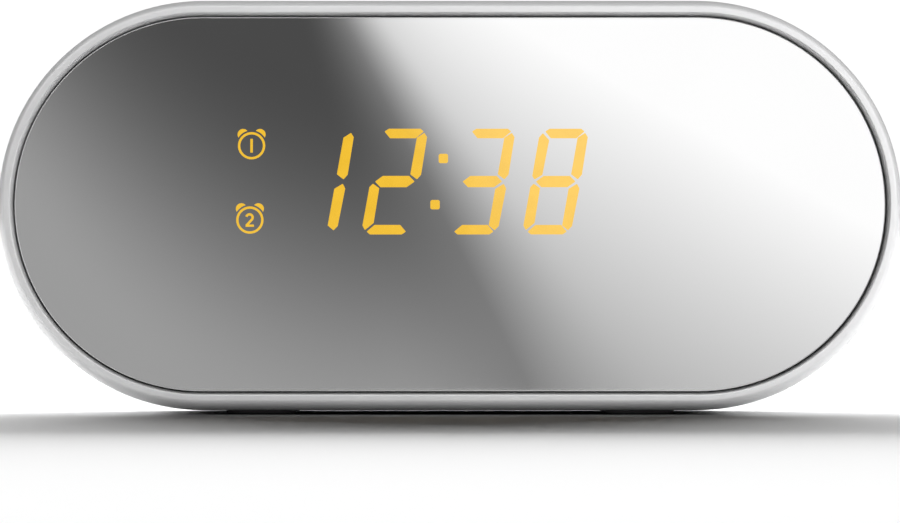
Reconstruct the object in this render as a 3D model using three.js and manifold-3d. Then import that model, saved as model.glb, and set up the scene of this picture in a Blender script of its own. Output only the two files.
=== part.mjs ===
// A mirror-fronted clock radio with a stadium-shaped case, modelled as the pieces it comes apart into.
// Units are millimetres. +X is to the viewer's right, +Y runs from the front to the back, +Z is up.
// The origin is on the table, under the middle of the case.
import * as THREE from "three";
import { mergeVertices } from "three/addons/utils/BufferGeometryUtils.js";
import Module from "manifold-3d";

const wasm = await Module();
wasm.setup();

// ---- Driving dimensions ----
const CASE_WIDTH = 178;
const CASE_HEIGHT = 81;
const CASE_DEPTH = 50;
const FOOT_DROP = 0.8; // how far the feet hold the case off the table
const WALL = 2.2;
const GAP = 0.3; // clearance between neighbouring pieces

const CASE_RADIUS = CASE_HEIGHT / 2;
const HALF_STRAIGHT = CASE_WIDTH / 2 - CASE_RADIUS; // from the middle to the centre of each round end
const AXIS_Z = FOOT_DROP + CASE_RADIUS;
const TOP_Z = FOOT_DROP + CASE_HEIGHT;
const FLOOR_Z = FOOT_DROP + WALL; // inside face of the bottom wall
const FRONT_Y = -CASE_DEPTH / 2;
const BACK_Y = CASE_DEPTH / 2;
const INNER_RADIUS = CASE_RADIUS - WALL;
const ARC_STEPS = 16; // facets round each end of the case

// Front bezel and mirror panel
const CROWN_OUTER = 38.26; // radii of the flat front of the rim
const CROWN_INNER = 37.25;
const FLARE_DEPTH = 10; // the rim widens to the case radius over this depth
const MIRROR_RADIUS = 36.5;
const OPENING_RADIUS = MIRROR_RADIUS + 0.35; // of the bezel, round the edge of the mirror
const MIRROR_RECESS = 2.1;
const MIRROR_THICKNESS = 2;
const MIRROR_Y = FRONT_Y + MIRROR_RECESS;
const LEDGE_Y = MIRROR_Y + MIRROR_THICKNESS + 0.7; // leaves room for the gasket
const LEDGE_THICKNESS = 1.8;
const LEDGE_RADIUS = 33.2;
const BEZEL_BACK_Y = FRONT_Y + 13;
const TONGUE_OUTER = INNER_RADIUS - GAP;
const TONGUE_INNER = TONGUE_OUTER - 1.2;
const TONGUE_LENGTH = 2.3;

// Main shell and rear cover
const SHELL_FRONT_Y = BEZEL_BACK_Y + GAP;
const SHELL_BACK_Y = 15;
const COVER_FRONT_Y = SHELL_BACK_Y + GAP;
const COVER_CURVE_Y = 17; // where the cover starts to round over
const COVER_FLAT_RADIUS = 35;
const COVER_WALL = 3;
const COVER_INSIDE_Y = BACK_Y - COVER_WALL;

// Button deck, on the flat top
const DECK = { halfX: 47, y0: -8, y1: 11, flangeX: 2.9, flangeY: 1.2, flangeThickness: 1.2 };
const DECK_FLANGE_TOP = TOP_Z - WALL - GAP;
const DECK_BOTTOM = DECK_FLANGE_TOP - DECK.flangeThickness;
const BUTTON_PROUD = 1;
const BUTTON_LIP = 0.8;
const BUTTON_LIP_THICKNESS = 1;
const BUTTON_TRAVEL = 0.6;
const BUTTON_SIZE = { x: 9.6, y: 6.8, corner: 2.2 };
const SNOOZE_SIZE = { x: 39, y: 16, corner: 4 };
const COLUMN_X = [28, 40]; // distances of the button columns from the middle
const ROW_Y = [-3.1, 6.1];
const DECK_MIDDLE_Y = (DECK.y0 + DECK.y1) / 2;
const BUTTON_BOARD_TOP = TOP_Z - 10.7;
const BOARD_THICKNESS = 1.6;
const SWITCH = { side: 6, height: 3.4, bore: 2.2 };
const STEM = { radius: 1.8, reach: 0.2 }; // each button's stem already reaches this far into its switch

// Display
const DIGIT = { halfWidth: 4.55, halfHeight: 10.35, stroke: 1.95, middle: 2.2, mitre: 0.36, corner: 0.5 };
const SLANT = 0.18; // sideways lean of the digits for each unit of height
const DIGIT_X = [-25, -10.65, 6.45, 20.78];
const DIGIT_Z = AXIS_Z + 4.33;
const COLON_DOTS = [[-1.27, AXIS_Z + 8.85], [-2.92, AXIS_Z - 0.19]];
const DOT_SIDE = 1.9;
const ALARM_ICONS = [[-38.6, AXIS_Z + 11.35], [-38.9, AXIS_Z - 3.2]];
const ICON_RADIUS = 3.1;
const REFLECTOR = { x0: -44, x1: 30, z0: AXIS_Z - 9.5, z1: AXIS_Z + 18, y0: -20.5, y1: -14.6 };
const PIPE_INSET = 0.25; // the light guides are this much smaller than their wells
const GUIDE_PLATE = { y0: -14.3, y1: -13.3 };
const DISPLAY_BOARD_Y = -12.2;
const LED = { x: 1.6, z: 1, height: 0.8 };
const STAKE = { inset: 1.9, radius: 1.1 }; // pegs of the reflector that hold the display board

// Main board, inlet and antenna gland
const MAIN_BOARD_Z = FLOOR_Z + 2.5;
const MAIN_BOARD = { x0: -34, x1: 42, y0: -8.5, y1: 19.5, pegX: [-31.5, 32], pegY: [-6, 11], peg: 1 };
const MAIN_BOARD_TOP = MAIN_BOARD_Z + BOARD_THICKNESS;
const SOCKET_Z = 13;
const GLAND_X = 14;
const GLAND = { neck: 2.4, flange: 3.6, bore: 0.9 };
const INLET = { bore: 2.75, pin: 1, collar: 4, depth: 9, y0: 8, face: BACK_Y - 0.3 };

// Loudspeaker
const SPEAKER_X = 44;
const SPEAKER_RADIUS = 24.5;
const SPEAKER_COLLAR = { radius: 25, wall: 1.4, depth: 4 };
const GRILLE = { radius: 20.5, pitch: 3.6, slot: 1.5 };

// Battery bay, on the other side of the back
const BAY_X = -44;
const BAY = { halfX: 25.4, halfZ: 11.6, floorY: 10.3, wall: 1.2 };
const DOOR = { halfX: 27.7, halfZ: 14.2, outer: BACK_Y - 0.1, thickness: 1.4, pinRadius: 0.5, pinLength: 1 };
const DOOR_AXIS = { y: DOOR.outer - DOOR.thickness / 2, z: AXIS_Z - DOOR.halfZ + DOOR.thickness / 2 };
const CELL = { radius: 5.25, length: 44.5, nubRadius: 1.9, nub: 0.9, pitch: 11.2, y: 15.9 };

// Cover screws
const BOSS = { x: HALF_STRAIGHT + 20.5, z: 20.5, radius: 3, pilot: 1.8 };
const SCREW = { head: 2.7, headThickness: 1.4, shank: 1.45, tipY: 13, seatY: 23.4 };

// ---- Materials ----
function material(color, roughness, metalness = 0) {
  return new THREE.MeshStandardMaterial({ color, roughness, metalness });
}
const MATERIALS = {
  caseSilver: material(0xd9dadb, 0.32, 0.15),
  mirror: material(0xe6e8ea, 0.04, 1),
  foam: material(0x0c0c0d, 0.95),
  deckGrey: material(0xa9abad, 0.5),
  buttonSilver: material(0xe2e3e4, 0.35, 0.1),
  rubber: material(0x1b1b1c, 0.85),
  board: material(0x1f5a36, 0.55),
  chip: material(0x141416, 0.5),
  reflector: material(0x101011, 0.6),
  amber: material(0xffb52e, 0.4),
  tin: material(0xb9bcc0, 0.3, 1),
  blackPlastic: material(0x17181a, 0.45),
  cone: material(0x26262a, 0.9),
  magnet: material(0x5b5e62, 0.4, 0.9),
  cell: material(0x6f757c, 0.35, 0.6),
  steel: material(0xa8abb0, 0.3, 1),
};

// ---- Solids ----
// A closed three.js geometry as a manifold solid.
function solid(geometry) {
  const loose = geometry.index ? geometry.toNonIndexed() : geometry.clone();
  loose.deleteAttribute("normal");
  loose.deleteAttribute("uv");
  const merged = mergeVertices(loose, 1e-4);
  const corners = merged.index.array;
  const kept = [];
  for (let i = 0; i < corners.length; i += 3) {
    const [a, b, c] = corners.slice(i, i + 3);
    if (a !== b && b !== c && c !== a) kept.push(a, b, c); // a lathe leaves slivers on its axis
  }
  return new wasm.Manifold(
    new wasm.Mesh({
      numProp: 3,
      vertProperties: merged.attributes.position.array,
      triVerts: new Uint32Array(kept),
    }),
  );
}

const assembly = new THREE.Group();

// Adds a solid to the assembly as a named mesh.
function add(name, body, finish) {
  const mesh = body.getMesh();
  const geometry = new THREE.BufferGeometry();
  geometry.setAttribute("position", new THREE.BufferAttribute(mesh.vertProperties, 3));
  geometry.setIndex(new THREE.BufferAttribute(mesh.triVerts, 1));
  geometry.computeVertexNormals();
  const piece = new THREE.Mesh(geometry, finish);
  piece.name = name;
  assembly.add(piece);
}

function unite(bodies) {
  return bodies.reduce((whole, body) => whole.add(body));
}

function cut(body, tools) {
  return tools.reduce((left, tool) => left.subtract(tool), body);
}

function box(x0, x1, y0, y1, z0, z1) {
  const block = new THREE.BoxGeometry(x1 - x0, y1 - y0, z1 - z0);
  return solid(block.translate((x0 + x1) / 2, (y0 + y1) / 2, (z0 + z1) / 2));
}

// A shape drawn in X and Z, extruded from y0 to y1.
function slabAlongY(shape, y0, y1, x = 0, z = 0, curveSegments = 4) {
  const slab = new THREE.ExtrudeGeometry(shape, { depth: y1 - y0, bevelEnabled: false, curveSegments });
  return solid(slab.rotateX(Math.PI / 2).translate(x, y1, z));
}

// A shape drawn in X and Y, extruded from z0 to z1, with an optional chamfer inside those limits.
function slabAlongZ(shape, z0, z1, x = 0, y = 0, chamfer = 0, curveSegments = 2) {
  const slab = new THREE.ExtrudeGeometry(shape, {
    depth: z1 - z0 - 2 * chamfer,
    bevelEnabled: chamfer > 0,
    bevelThickness: chamfer,
    bevelSize: chamfer,
    bevelOffset: -chamfer,
    bevelSegments: 1,
    curveSegments,
  });
  return solid(slab.translate(x, y, z0 + chamfer));
}

// A turned body whose axis runs along Y through (x, z). Profile points are [radius, distance along the axis].
function turnedAlongY(profile, x, z, segments = 24) {
  const lathe = new THREE.LatheGeometry(profile.map(([r, y]) => new THREE.Vector2(r, y)), segments);
  return solid(lathe.translate(x, 0, z));
}

function turnedAlongZ(profile, x, y, segments = 16) {
  const lathe = new THREE.LatheGeometry(profile.map(([r, z]) => new THREE.Vector2(r, z)), segments);
  return solid(lathe.rotateX(Math.PI / 2).translate(x, y, 0));
}

function discAlongY(radius, y0, y1, x, z, segments = 12) {
  return turnedAlongY([[0, y0], [radius, y0], [radius, y1], [0, y1]], x, z, segments);
}

function discAlongZ(radius, z0, z1, x, y, segments = 10) {
  return turnedAlongZ([[0, z0], [radius, z0], [radius, z1], [0, z1]], x, y, segments);
}

function rodAlongX(radius, x0, x1, y, z, segments = 12) {
  const rod = new THREE.CylinderGeometry(radius, radius, x1 - x0, segments);
  return solid(rod.rotateZ(Math.PI / 2).translate((x0 + x1) / 2, y, z));
}

function roundedRectangle(width, height, corner) {
  const [x, y] = [width / 2 - corner, height / 2 - corner];
  const shape = new THREE.Shape();
  shape.absarc(x, -y, corner, -Math.PI / 2, 0);
  shape.absarc(x, y, corner, 0, Math.PI / 2);
  shape.absarc(-x, y, corner, Math.PI / 2, Math.PI);
  shape.absarc(-x, -y, corner, Math.PI, (3 * Math.PI) / 2);
  return shape;
}

function polygon(points) {
  return new THREE.Shape(points.map(([x, y]) => new THREE.Vector2(x, y)));
}

// The outline of the case at one radius: two half circles joined by straights.
function stadiumOutline(radius) {
  const shape = new THREE.Shape();
  shape.absarc(HALF_STRAIGHT, 0, radius, -Math.PI / 2, Math.PI / 2);
  shape.absarc(-HALF_STRAIGHT, 0, radius, Math.PI / 2, (3 * Math.PI) / 2);
  return shape.getPoints(ARC_STEPS / 2);
}

// A solid whose section is a stadium of the given radius at each [radius, y] station, from front to back.
function stadiumLoft(stations) {
  const rings = stations.map(([radius, y]) => stadiumOutline(radius).map((p) => [p.x, y, AXIS_Z + p.y]));
  const count = rings[0].length;
  const last = (rings.length - 1) * count;
  const triangles = [];
  for (let i = 1; i < count - 1; i++) {
    triangles.push(0, i, i + 1);
    triangles.push(last, last + i + 1, last + i);
  }
  for (let k = 0; k < rings.length - 1; k++) {
    for (let i = 0; i < count; i++) {
      const [a, b] = [k * count + i, k * count + ((i + 1) % count)];
      triangles.push(a, a + count, b);
      triangles.push(a + count, b + count, b);
    }
  }
  const geometry = new THREE.BufferGeometry();
  geometry.setAttribute("position", new THREE.Float32BufferAttribute(rings.flat(2), 3));
  geometry.setIndex(triangles);
  return solid(geometry);
}

function stadiumSlab(radius, y0, y1) {
  return stadiumLoft([[radius, y0], [radius, y1]]);
}

function stadiumRing(outer, inner, y0, y1) {
  return stadiumSlab(outer, y0, y1).subtract(stadiumSlab(inner, y0 - 1, y1 + 1));
}

// Stations along a quarter ellipse that starts square to the front, at the crown of the rim.
function flareStations(steps) {
  const width = CASE_RADIUS - CROWN_OUTER;
  return Array.from({ length: steps + 1 }, (_, i) => {
    const angle = (i / steps) * (Math.PI / 2);
    return [CROWN_OUTER + width * Math.sin(angle), FRONT_Y + FLARE_DEPTH * (1 - Math.cos(angle))];
  });
}

// Stations along the quarter ellipse that rounds the case over to the flat back.
function roundOverStations(radius, depth, steps) {
  const inset = CASE_RADIUS - COVER_FLAT_RADIUS;
  return Array.from({ length: steps + 1 }, (_, i) => {
    const angle = (i / steps) * (Math.PI / 2);
    return [radius - inset * (1 - Math.cos(angle)), COVER_CURVE_Y + depth * Math.sin(angle)];
  });
}

const BOSSES = [[-1, -1], [1, -1], [-1, 1], [1, 1]].map(([sx, sz]) => [sx * BOSS.x, AXIS_Z + sz * BOSS.z]);

// ---- Case ----
function buildFrontBezel() {
  const earRadius = BOSS.radius + 2;
  const bossEnd = COVER_INSIDE_Y - GAP;
  const ledgeBack = LEDGE_Y + LEDGE_THICKNESS;
  const slope = (CROWN_INNER - OPENING_RADIUS) / MIRROR_RECESS;
  let body = stadiumLoft([...flareStations(4), [CASE_RADIUS, BEZEL_BACK_Y]]);
  body = body.subtract(
    stadiumLoft([[CROWN_INNER + slope, FRONT_Y - 1], [OPENING_RADIUS, MIRROR_Y], [OPENING_RADIUS, LEDGE_Y]]),
  );
  body = body.subtract(stadiumSlab(LEDGE_RADIUS, LEDGE_Y - 1, ledgeBack + 1));
  body = body.subtract(stadiumSlab(TONGUE_INNER, ledgeBack, BEZEL_BACK_Y + 1));
  body = body.add(stadiumRing(TONGUE_OUTER, TONGUE_INNER, BEZEL_BACK_Y - 1, BEZEL_BACK_Y + TONGUE_LENGTH));
  for (const [x, z] of BOSSES) {
    body = body.add(discAlongY(earRadius, LEDGE_Y, ledgeBack, x, z, 14));
    body = body.add(discAlongY(BOSS.radius, LEDGE_Y, bossEnd, x, z, 14));
    body = body.subtract(discAlongY(BOSS.pilot, SCREW.tipY - 3, BACK_Y, x, z));
  }
  add("front_bezel", body, MATERIALS.caseSilver);
}

function buildMirror() {
  const edge = 0.3;
  const back = MIRROR_Y + MIRROR_THICKNESS;
  add(
    "mirror_panel",
    stadiumLoft([[MIRROR_RADIUS - edge, MIRROR_Y], [MIRROR_RADIUS, MIRROR_Y + edge], [MIRROR_RADIUS, back]]),
    MATERIALS.mirror,
  );
  const gasket = stadiumRing(MIRROR_RADIUS - 0.2, LEDGE_RADIUS + 0.3, back + 0.1, LEDGE_Y - 0.1);
  add("mirror_gasket", gasket, MATERIALS.foam);
}

const FEET = { x: 38, y: [-6.2, 9.2], length: 14, width: 8, sunk: 0.7 };

function buildMainShell() {
  let body = stadiumRing(CASE_RADIUS, INNER_RADIUS, SHELL_FRONT_Y, SHELL_BACK_Y);
  const hole = GAP;
  body = body.subtract(
    box(-DECK.halfX - hole, DECK.halfX + hole, DECK.y0 - hole, DECK.y1 + hole, TOP_Z - WALL - 1, TOP_Z + 1),
  );
  for (const x of [-FEET.x, FEET.x]) {
    for (const y of FEET.y) {
      const pocket = roundedRectangle(FEET.length + 2 * GAP, FEET.width + 2 * GAP, FEET.width / 2);
      body = body.subtract(slabAlongZ(pocket, FOOT_DROP - 1, FOOT_DROP + FEET.sunk + GAP, x, y, 0, 3));
    }
  }
  for (const i of [-2, -1, 0, 1, 2]) {
    body = body.subtract(box(i * 9 - 3, i * 9 + 3, -2, 0.6, FOOT_DROP - 1, FLOOR_Z + 1)); // cooling slots
  }
  for (const x of MAIN_BOARD.pegX) {
    for (const y of MAIN_BOARD.pegY) {
      body = body.add(discAlongZ(2 * MAIN_BOARD.peg, FLOOR_Z - 0.5, MAIN_BOARD_Z - 0.1, x, y));
      body = body.add(discAlongZ(MAIN_BOARD.peg, FLOOR_Z, MAIN_BOARD_TOP + 1, x, y));
    }
  }
  add("main_shell", body, MATERIALS.caseSilver);
}

function buildFeet() {
  const corners = { front: FEET.y[0], rear: FEET.y[1] };
  for (const [end, y] of Object.entries(corners)) {
    for (const [side, x] of [["left", -FEET.x], ["right", FEET.x]]) {
      const pad = roundedRectangle(FEET.length, FEET.width, FEET.width / 2 - 0.1);
      add(`foot_${end}_${side}`, slabAlongZ(pad, 0, FOOT_DROP + FEET.sunk, x, y, 0.4, 3), MATERIALS.rubber);
    }
  }
}

// ---- Back ----
// Louvre slots that fill a circle in front of the loudspeaker.
function grilleSlots() {
  const slots = [];
  const rows = Math.floor(GRILLE.radius / GRILLE.pitch);
  for (let row = -rows; row <= rows; row++) {
    const z = row * GRILLE.pitch;
    const half = Math.sqrt(GRILLE.radius ** 2 - z ** 2);
    const [flat, high] = [half - GRILLE.slot / 2, GRILLE.slot / 2];
    const outline = [[-flat, -high], [flat, -high], [half, 0], [flat, high], [-flat, high], [-half, 0]];
    slots.push(slabAlongY(polygon(outline), COVER_INSIDE_Y - 1, BACK_Y + 1, SPEAKER_X, AXIS_Z + z));
  }
  return slots;
}

// The shallow recess for the battery door, its opening, its hinge notches and the finger notch above it.
function bayCuts() {
  const floor = DOOR.outer - DOOR.thickness - GAP;
  const low = DOOR_AXIS.z - DOOR.thickness / 2 - GAP;
  const high = AXIS_Z + DOOR.halfZ + GAP;
  const side = DOOR.halfX + GAP;
  const notch = side + DOOR.pinLength + GAP;
  const pin = DOOR.pinRadius + GAP;
  const [x0, x1] = [BAY_X - BAY.halfX, BAY_X + BAY.halfX];
  return [
    box(BAY_X - side, BAY_X + side, floor, BACK_Y + 1, low, high),
    box(x0, x1, COVER_INSIDE_Y - 1, BACK_Y + 1, AXIS_Z - BAY.halfZ, AXIS_Z + BAY.halfZ),
    box(BAY_X - notch, BAY_X + notch, floor, BACK_Y + 1, DOOR_AXIS.z - pin, DOOR_AXIS.z + pin),
    slabAlongY(roundedRectangle(14, 6, 2.9), floor, BACK_Y + 1, BAY_X, high),
  ];
}

function buildRearCover() {
  const outside = roundOverStations(CASE_RADIUS, BACK_Y - COVER_CURVE_Y, 4);
  const hollow = roundOverStations(INNER_RADIUS, COVER_INSIDE_Y - COVER_CURVE_Y, 2);
  let body = stadiumLoft([[CASE_RADIUS, COVER_FRONT_Y], ...outside]);
  body = body.subtract(stadiumLoft([[INNER_RADIUS, COVER_FRONT_Y - 1], ...hollow]));
  body = body.add(stadiumRing(TONGUE_OUTER, TONGUE_INNER, COVER_FRONT_Y - TONGUE_LENGTH, COVER_CURVE_Y));
  body = body.add(stadiumRing(INNER_RADIUS + 0.2, TONGUE_INNER, COVER_FRONT_Y, COVER_CURVE_Y));
  const { radius, wall, depth } = SPEAKER_COLLAR;
  const collarFront = COVER_INSIDE_Y - depth;
  const collar = discAlongY(radius + wall, collarFront, COVER_INSIDE_Y + 0.5, SPEAKER_X, AXIS_Z, 24);
  const bore = discAlongY(radius, collarFront - 1, COVER_INSIDE_Y, SPEAKER_X, AXIS_Z, 24);
  body = body.add(collar.subtract(bore));
  const inside = COVER_INSIDE_Y - 1;
  const cuts = [...grilleSlots(), ...bayCuts()];
  for (const [x, z] of BOSSES) {
    cuts.push(discAlongY(SCREW.shank + 0.5, inside, BACK_Y + 1, x, z));
    cuts.push(discAlongY(SCREW.head + 0.6, SCREW.seatY, BACK_Y + 1, x, z, 20));
  }
  cuts.push(discAlongY(INLET.collar + 0.4, inside, BACK_Y + 1, 0, SOCKET_Z, 20));
  cuts.push(discAlongY(GLAND.neck + GAP, inside, BACK_Y + 1, GLAND_X, SOCKET_Z, 18));
  add("rear_cover", cut(body, cuts), MATERIALS.caseSilver);
}

function buildCoverScrews() {
  const names = ["lower_left", "lower_right", "upper_left", "upper_right"];
  BOSSES.forEach(([x, z], i) => {
    const seat = SCREW.seatY + 0.1;
    const head = seat + SCREW.headThickness;
    const profile = [
      [0, SCREW.tipY],
      [SCREW.shank, SCREW.tipY + 1.5],
      [SCREW.shank, seat],
      [SCREW.head, seat],
      [SCREW.head, head - 0.6],
      [SCREW.head - 0.7, head],
      [0, head],
    ];
    let body = turnedAlongY(profile, x, z, 16);
    const [long, short, deep] = [1.5, 0.35, 0.8];
    body = body.subtract(box(x - long, x + long, head - deep, head + 1, z - short, z + short));
    body = body.subtract(box(x - short, x + short, head - deep, head + 1, z - long, z + long));
    add(`cover_screw_${names[i]}`, body, MATERIALS.steel);
  });
}

// ---- Battery bay ----
function buildBatteryBay() {
  const back = COVER_INSIDE_Y - GAP;
  const [x0, x1] = [BAY_X - BAY.halfX, BAY_X + BAY.halfX];
  const [z0, z1] = [AXIS_Z - BAY.halfZ, AXIS_Z + BAY.halfZ];
  const w = BAY.wall;
  const tray = box(x0 - w, x1 + w, BAY.floorY - w, back, z0 - w, z1 + w);
  add("battery_tray", tray.subtract(box(x0, x1, BAY.floorY, back + 1, z0, z1)), MATERIALS.blackPlastic);

  // One cell points each way, and each has a coil spring behind its flat end.
  const springLength = 4.2;
  [-1, 1].forEach((way, i) => {
    const z = AXIS_Z - (way * CELL.pitch) / 2;
    const flatEnd = BAY_X + way * (BAY.halfX - springLength - 0.4);
    add(`backup_cell_${i + 1}`, cellBody(flatEnd, -way, z), MATERIALS.cell);
    add(`cell_spring_${i + 1}`, springBody(flatEnd + way * 0.2, way * springLength, z), MATERIALS.steel);
  });
}

// A dry cell whose flat end is at x and whose terminal points the given way along X.
function cellBody(x, way, z) {
  const { radius, length, nubRadius, nub } = CELL;
  const can = length - nub;
  const profile = [
    [0, 0],
    [radius - 0.4, 0],
    [radius, 0.4],
    [radius, can - 0.6],
    [radius - 0.6, can],
    [nubRadius, can],
    [nubRadius, length],
    [0, length],
  ];
  const lathe = new THREE.LatheGeometry(profile.map(([r, y]) => new THREE.Vector2(r, y)), 20);
  return solid(lathe.rotateZ((-way * Math.PI) / 2).translate(x, CELL.y, z));
}

class Helix extends THREE.Curve {
  constructor(x, reach, z) {
    super();
    Object.assign(this, { x, reach, z, turns: 3.5, coil: 3.4 });
  }
  getPoint(t, target = new THREE.Vector3()) {
    const angle = t * this.turns * 2 * Math.PI;
    const radius = this.coil - 1.2 * (1 - t); // the coil is narrower at the cell
    const [across, up] = [radius * Math.cos(angle), radius * Math.sin(angle)];
    return target.set(this.x + this.reach * t, CELL.y + across, this.z + up);
  }
}

function springBody(x, reach, z) {
  const wire = 0.35;
  const clear = Math.sign(reach) * (wire + 0.1);
  const path = new Helix(x + clear, reach - 2 * clear, z);
  const section = new THREE.Shape().absarc(0, 0, wire, 0, 2 * Math.PI);
  return solid(new THREE.ExtrudeGeometry(section, { steps: 28, curveSegments: 3, extrudePath: path }));
}

function buildBatteryDoor() {
  const { halfX, halfZ, outer, thickness, pinRadius, pinLength } = DOOR;
  const inner = outer - thickness;
  const top = AXIS_Z + halfZ;
  const across = (half, y0, y1, z0, z1) => box(BAY_X - half, BAY_X + half, y0, y1, z0, z1);
  const barrel = (radius, half) =>
    rodAlongX(radius, BAY_X - half, BAY_X + half, DOOR_AXIS.y, DOOR_AXIS.z, 16);
  let body = across(halfX, inner, outer, DOOR_AXIS.z, top);
  body = unite([body, barrel(thickness / 2, halfX), barrel(pinRadius, halfX + pinLength)]);

  const rim = { halfX: 24.6, halfZ: 10.4, deep: 1.3, wall: 1 }; // stands into the bay and stiffens the door
  const rimBox = (less, y0, y1) =>
    across(rim.halfX - less, y0, y1, AXIS_Z - rim.halfZ + less, AXIS_Z + rim.halfZ - less);
  body = body.add(rimBox(0, inner - rim.deep, inner + 0.2));
  body = body.subtract(rimBox(rim.wall, inner - rim.deep - 1, inner));
  const latch = AXIS_Z + rim.halfZ;
  body = body.add(across(4, inner - rim.deep, inner + 0.2, latch - 0.5, latch + 0.6));

  const grip = { pitch: 1.2, deep: 0.35, half: 0.3 };
  for (const i of [-1, 0, 1]) {
    const z = top - 3 + i * grip.pitch;
    body = body.subtract(across(5, outer - grip.deep, outer + 1, z - grip.half, z + grip.half));
  }
  add("battery_door", body, MATERIALS.caseSilver);
}

// ---- Buttons ----
// Every button on the deck: its name, its middle and its size.
function buttonPlan() {
  const small = BUTTON_SIZE;
  const [near, far] = COLUMN_X;
  const [front, rear] = ROW_Y;
  return [
    { name: "snooze_bar", x: 0, y: DECK_MIDDLE_Y, size: SNOOZE_SIZE },
    { name: "volume_down_button", x: -far, y: front, size: small },
    { name: "volume_up_button", x: -near, y: front, size: small },
    { name: "alarm_1_button", x: -far, y: rear, size: small },
    { name: "alarm_2_button", x: -near, y: rear, size: small },
    { name: "tuning_down_button", x: near, y: front, size: small },
    { name: "tuning_up_button", x: far, y: front, size: small },
    { name: "set_time_button", x: near, y: rear, size: small },
    { name: "radio_power_button", x: far, y: rear, size: small },
  ];
}

function buildDeck(plan) {
  const plate = roundedRectangle(2 * DECK.halfX, DECK.y1 - DECK.y0, 0.4);
  const flange = roundedRectangle(2 * (DECK.halfX + DECK.flangeX), DECK.y1 - DECK.y0 + 2 * DECK.flangeY, 0.4);
  let body = slabAlongZ(plate, DECK_FLANGE_TOP - 0.1, TOP_Z, 0, DECK_MIDDLE_Y);
  body = body.add(slabAlongZ(flange, DECK_BOTTOM, DECK_FLANGE_TOP, 0, DECK_MIDDLE_Y));
  for (const { x, y, size } of plan) {
    const hole = roundedRectangle(size.x + 2 * GAP, size.y + 2 * GAP, size.corner + GAP);
    body = body.subtract(slabAlongZ(hole, DECK_BOTTOM - 1, TOP_Z + 1, x, y));
  }
  // Four clips, open towards the middle, grip the ends of the button board.
  const [outer, lip, width] = [DECK.halfX + DECK.flangeX, 3, 3];
  const [under, over] = [BUTTON_BOARD_TOP - BOARD_THICKNESS - GAP, BUTTON_BOARD_TOP + GAP];
  for (const side of [-1, 1]) {
    const span = (from, to) => [side * from, side * to].sort((a, b) => a - b);
    for (const y of [DECK.y0 + 1, DECK.y1 - 1 - width]) {
      body = body.add(box(...span(outer - 1.6, outer), y, y + width, under - 1.2, DECK_BOTTOM + 0.2));
      body = body.add(box(...span(outer - lip, outer), y, y + width, under - 1.2, under));
      body = body.add(box(...span(outer - lip, outer), y, y + width, over, DECK_BOTTOM + 0.2));
    }
  }
  add("button_deck", body, MATERIALS.deckGrey);
}

function buildButtons(plan) {
  const lipTop = DECK_BOTTOM - GAP;
  const lipBottom = lipTop - BUTTON_LIP_THICKNESS;
  const switchFloor = BUTTON_BOARD_TOP + 0.1;
  const switchTop = switchFloor + SWITCH.height;
  const stemEnd = switchTop - STEM.reach;
  const half = SWITCH.side / 2;
  for (const { name, x, y, size } of plan) {
    const cap = roundedRectangle(size.x, size.y, size.corner);
    const lip = roundedRectangle(size.x + 2 * BUTTON_LIP, size.y + 2 * BUTTON_LIP, size.corner + BUTTON_LIP);
    const body = unite([
      slabAlongZ(cap, lipBottom, TOP_Z + BUTTON_PROUD, x, y, 0.4),
      slabAlongZ(lip, lipBottom, lipTop, x, y),
      discAlongZ(STEM.radius, stemEnd, lipTop, x, y),
    ]);
    add(name, body, MATERIALS.buttonSilver);

    const block = box(x - half, x + half, y - half, y + half, switchFloor, switchTop);
    const well = discAlongZ(SWITCH.bore, stemEnd - BUTTON_TRAVEL - GAP, switchTop + 1, x, y);
    add(name.replace(/_button|_bar/, "") + "_switch", block.subtract(well), MATERIALS.chip);
  }
  const [end, under] = [DECK.halfX + 1, BUTTON_BOARD_TOP - BOARD_THICKNESS];
  const board = box(-end, end, DECK.y0 - 0.5, DECK.y1 + 0.5, under, BUTTON_BOARD_TOP);
  add("button_board", board, MATERIALS.board);
}

// ---- Display ----
// The seven segments of one upright digit about its middle, as convex outlines in X and Z.
function segmentOutlines() {
  const { halfWidth: w, halfHeight: h, stroke: t, middle, mitre, corner: c } = DIGIT;
  const m = mitre / 2;
  const half = middle / 2;
  const topBar = [
    [-w + c + m, h - c],
    [-w + t + m, h - t],
    [w - t - m, h - t],
    [w - c - m, h - c],
    [w - 2 * c - m, h],
    [-w + 2 * c + m, h],
  ];
  const upperLeft = [
    [-w, h - 2 * c - m],
    [-w, 2 * c],
    [-w + c, m + 0.2],
    [-w + t, half + m],
    [-w + t, h - t - m],
    [-w + c, h - c - m],
  ];
  const middleBar = [
    [-w + t / 2 + m, 0],
    [-w + t + m, -half],
    [w - t - m, -half],
    [w - t / 2 - m, 0],
    [w - t - m, half],
    [-w + t + m, half],
  ];
  const mirrorX = (outline) => outline.map(([x, z]) => [-x, z]).reverse();
  const mirrorZ = (outline) => outline.map(([x, z]) => [x, -z]).reverse();
  const upperRight = mirrorX(upperLeft);
  return [topBar, upperRight, mirrorZ(upperRight), mirrorZ(topBar), mirrorZ(upperLeft), upperLeft, middleBar];
}

function slanted(outline) {
  return outline.map(([x, z]) => [x + SLANT * z, z]);
}

// A convex anticlockwise outline with every side moved inwards.
function inset(outline, distance) {
  const sides = outline.map(([x, z], i) => {
    const [nx, nz] = outline[(i + 1) % outline.length];
    const length = Math.hypot(nx - x, nz - z);
    const [ux, uz] = [(nx - x) / length, (nz - z) / length];
    return { x: x - uz * distance, z: z + ux * distance, ux, uz };
  });
  return sides.map((side, i) => {
    const before = sides[(i + sides.length - 1) % sides.length];
    const cross = before.ux * side.uz - before.uz * side.ux;
    const along = ((side.x - before.x) * side.uz - (side.z - before.z) * side.ux) / cross;
    return [before.x + before.ux * along, before.z + before.uz * along];
  });
}

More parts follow.
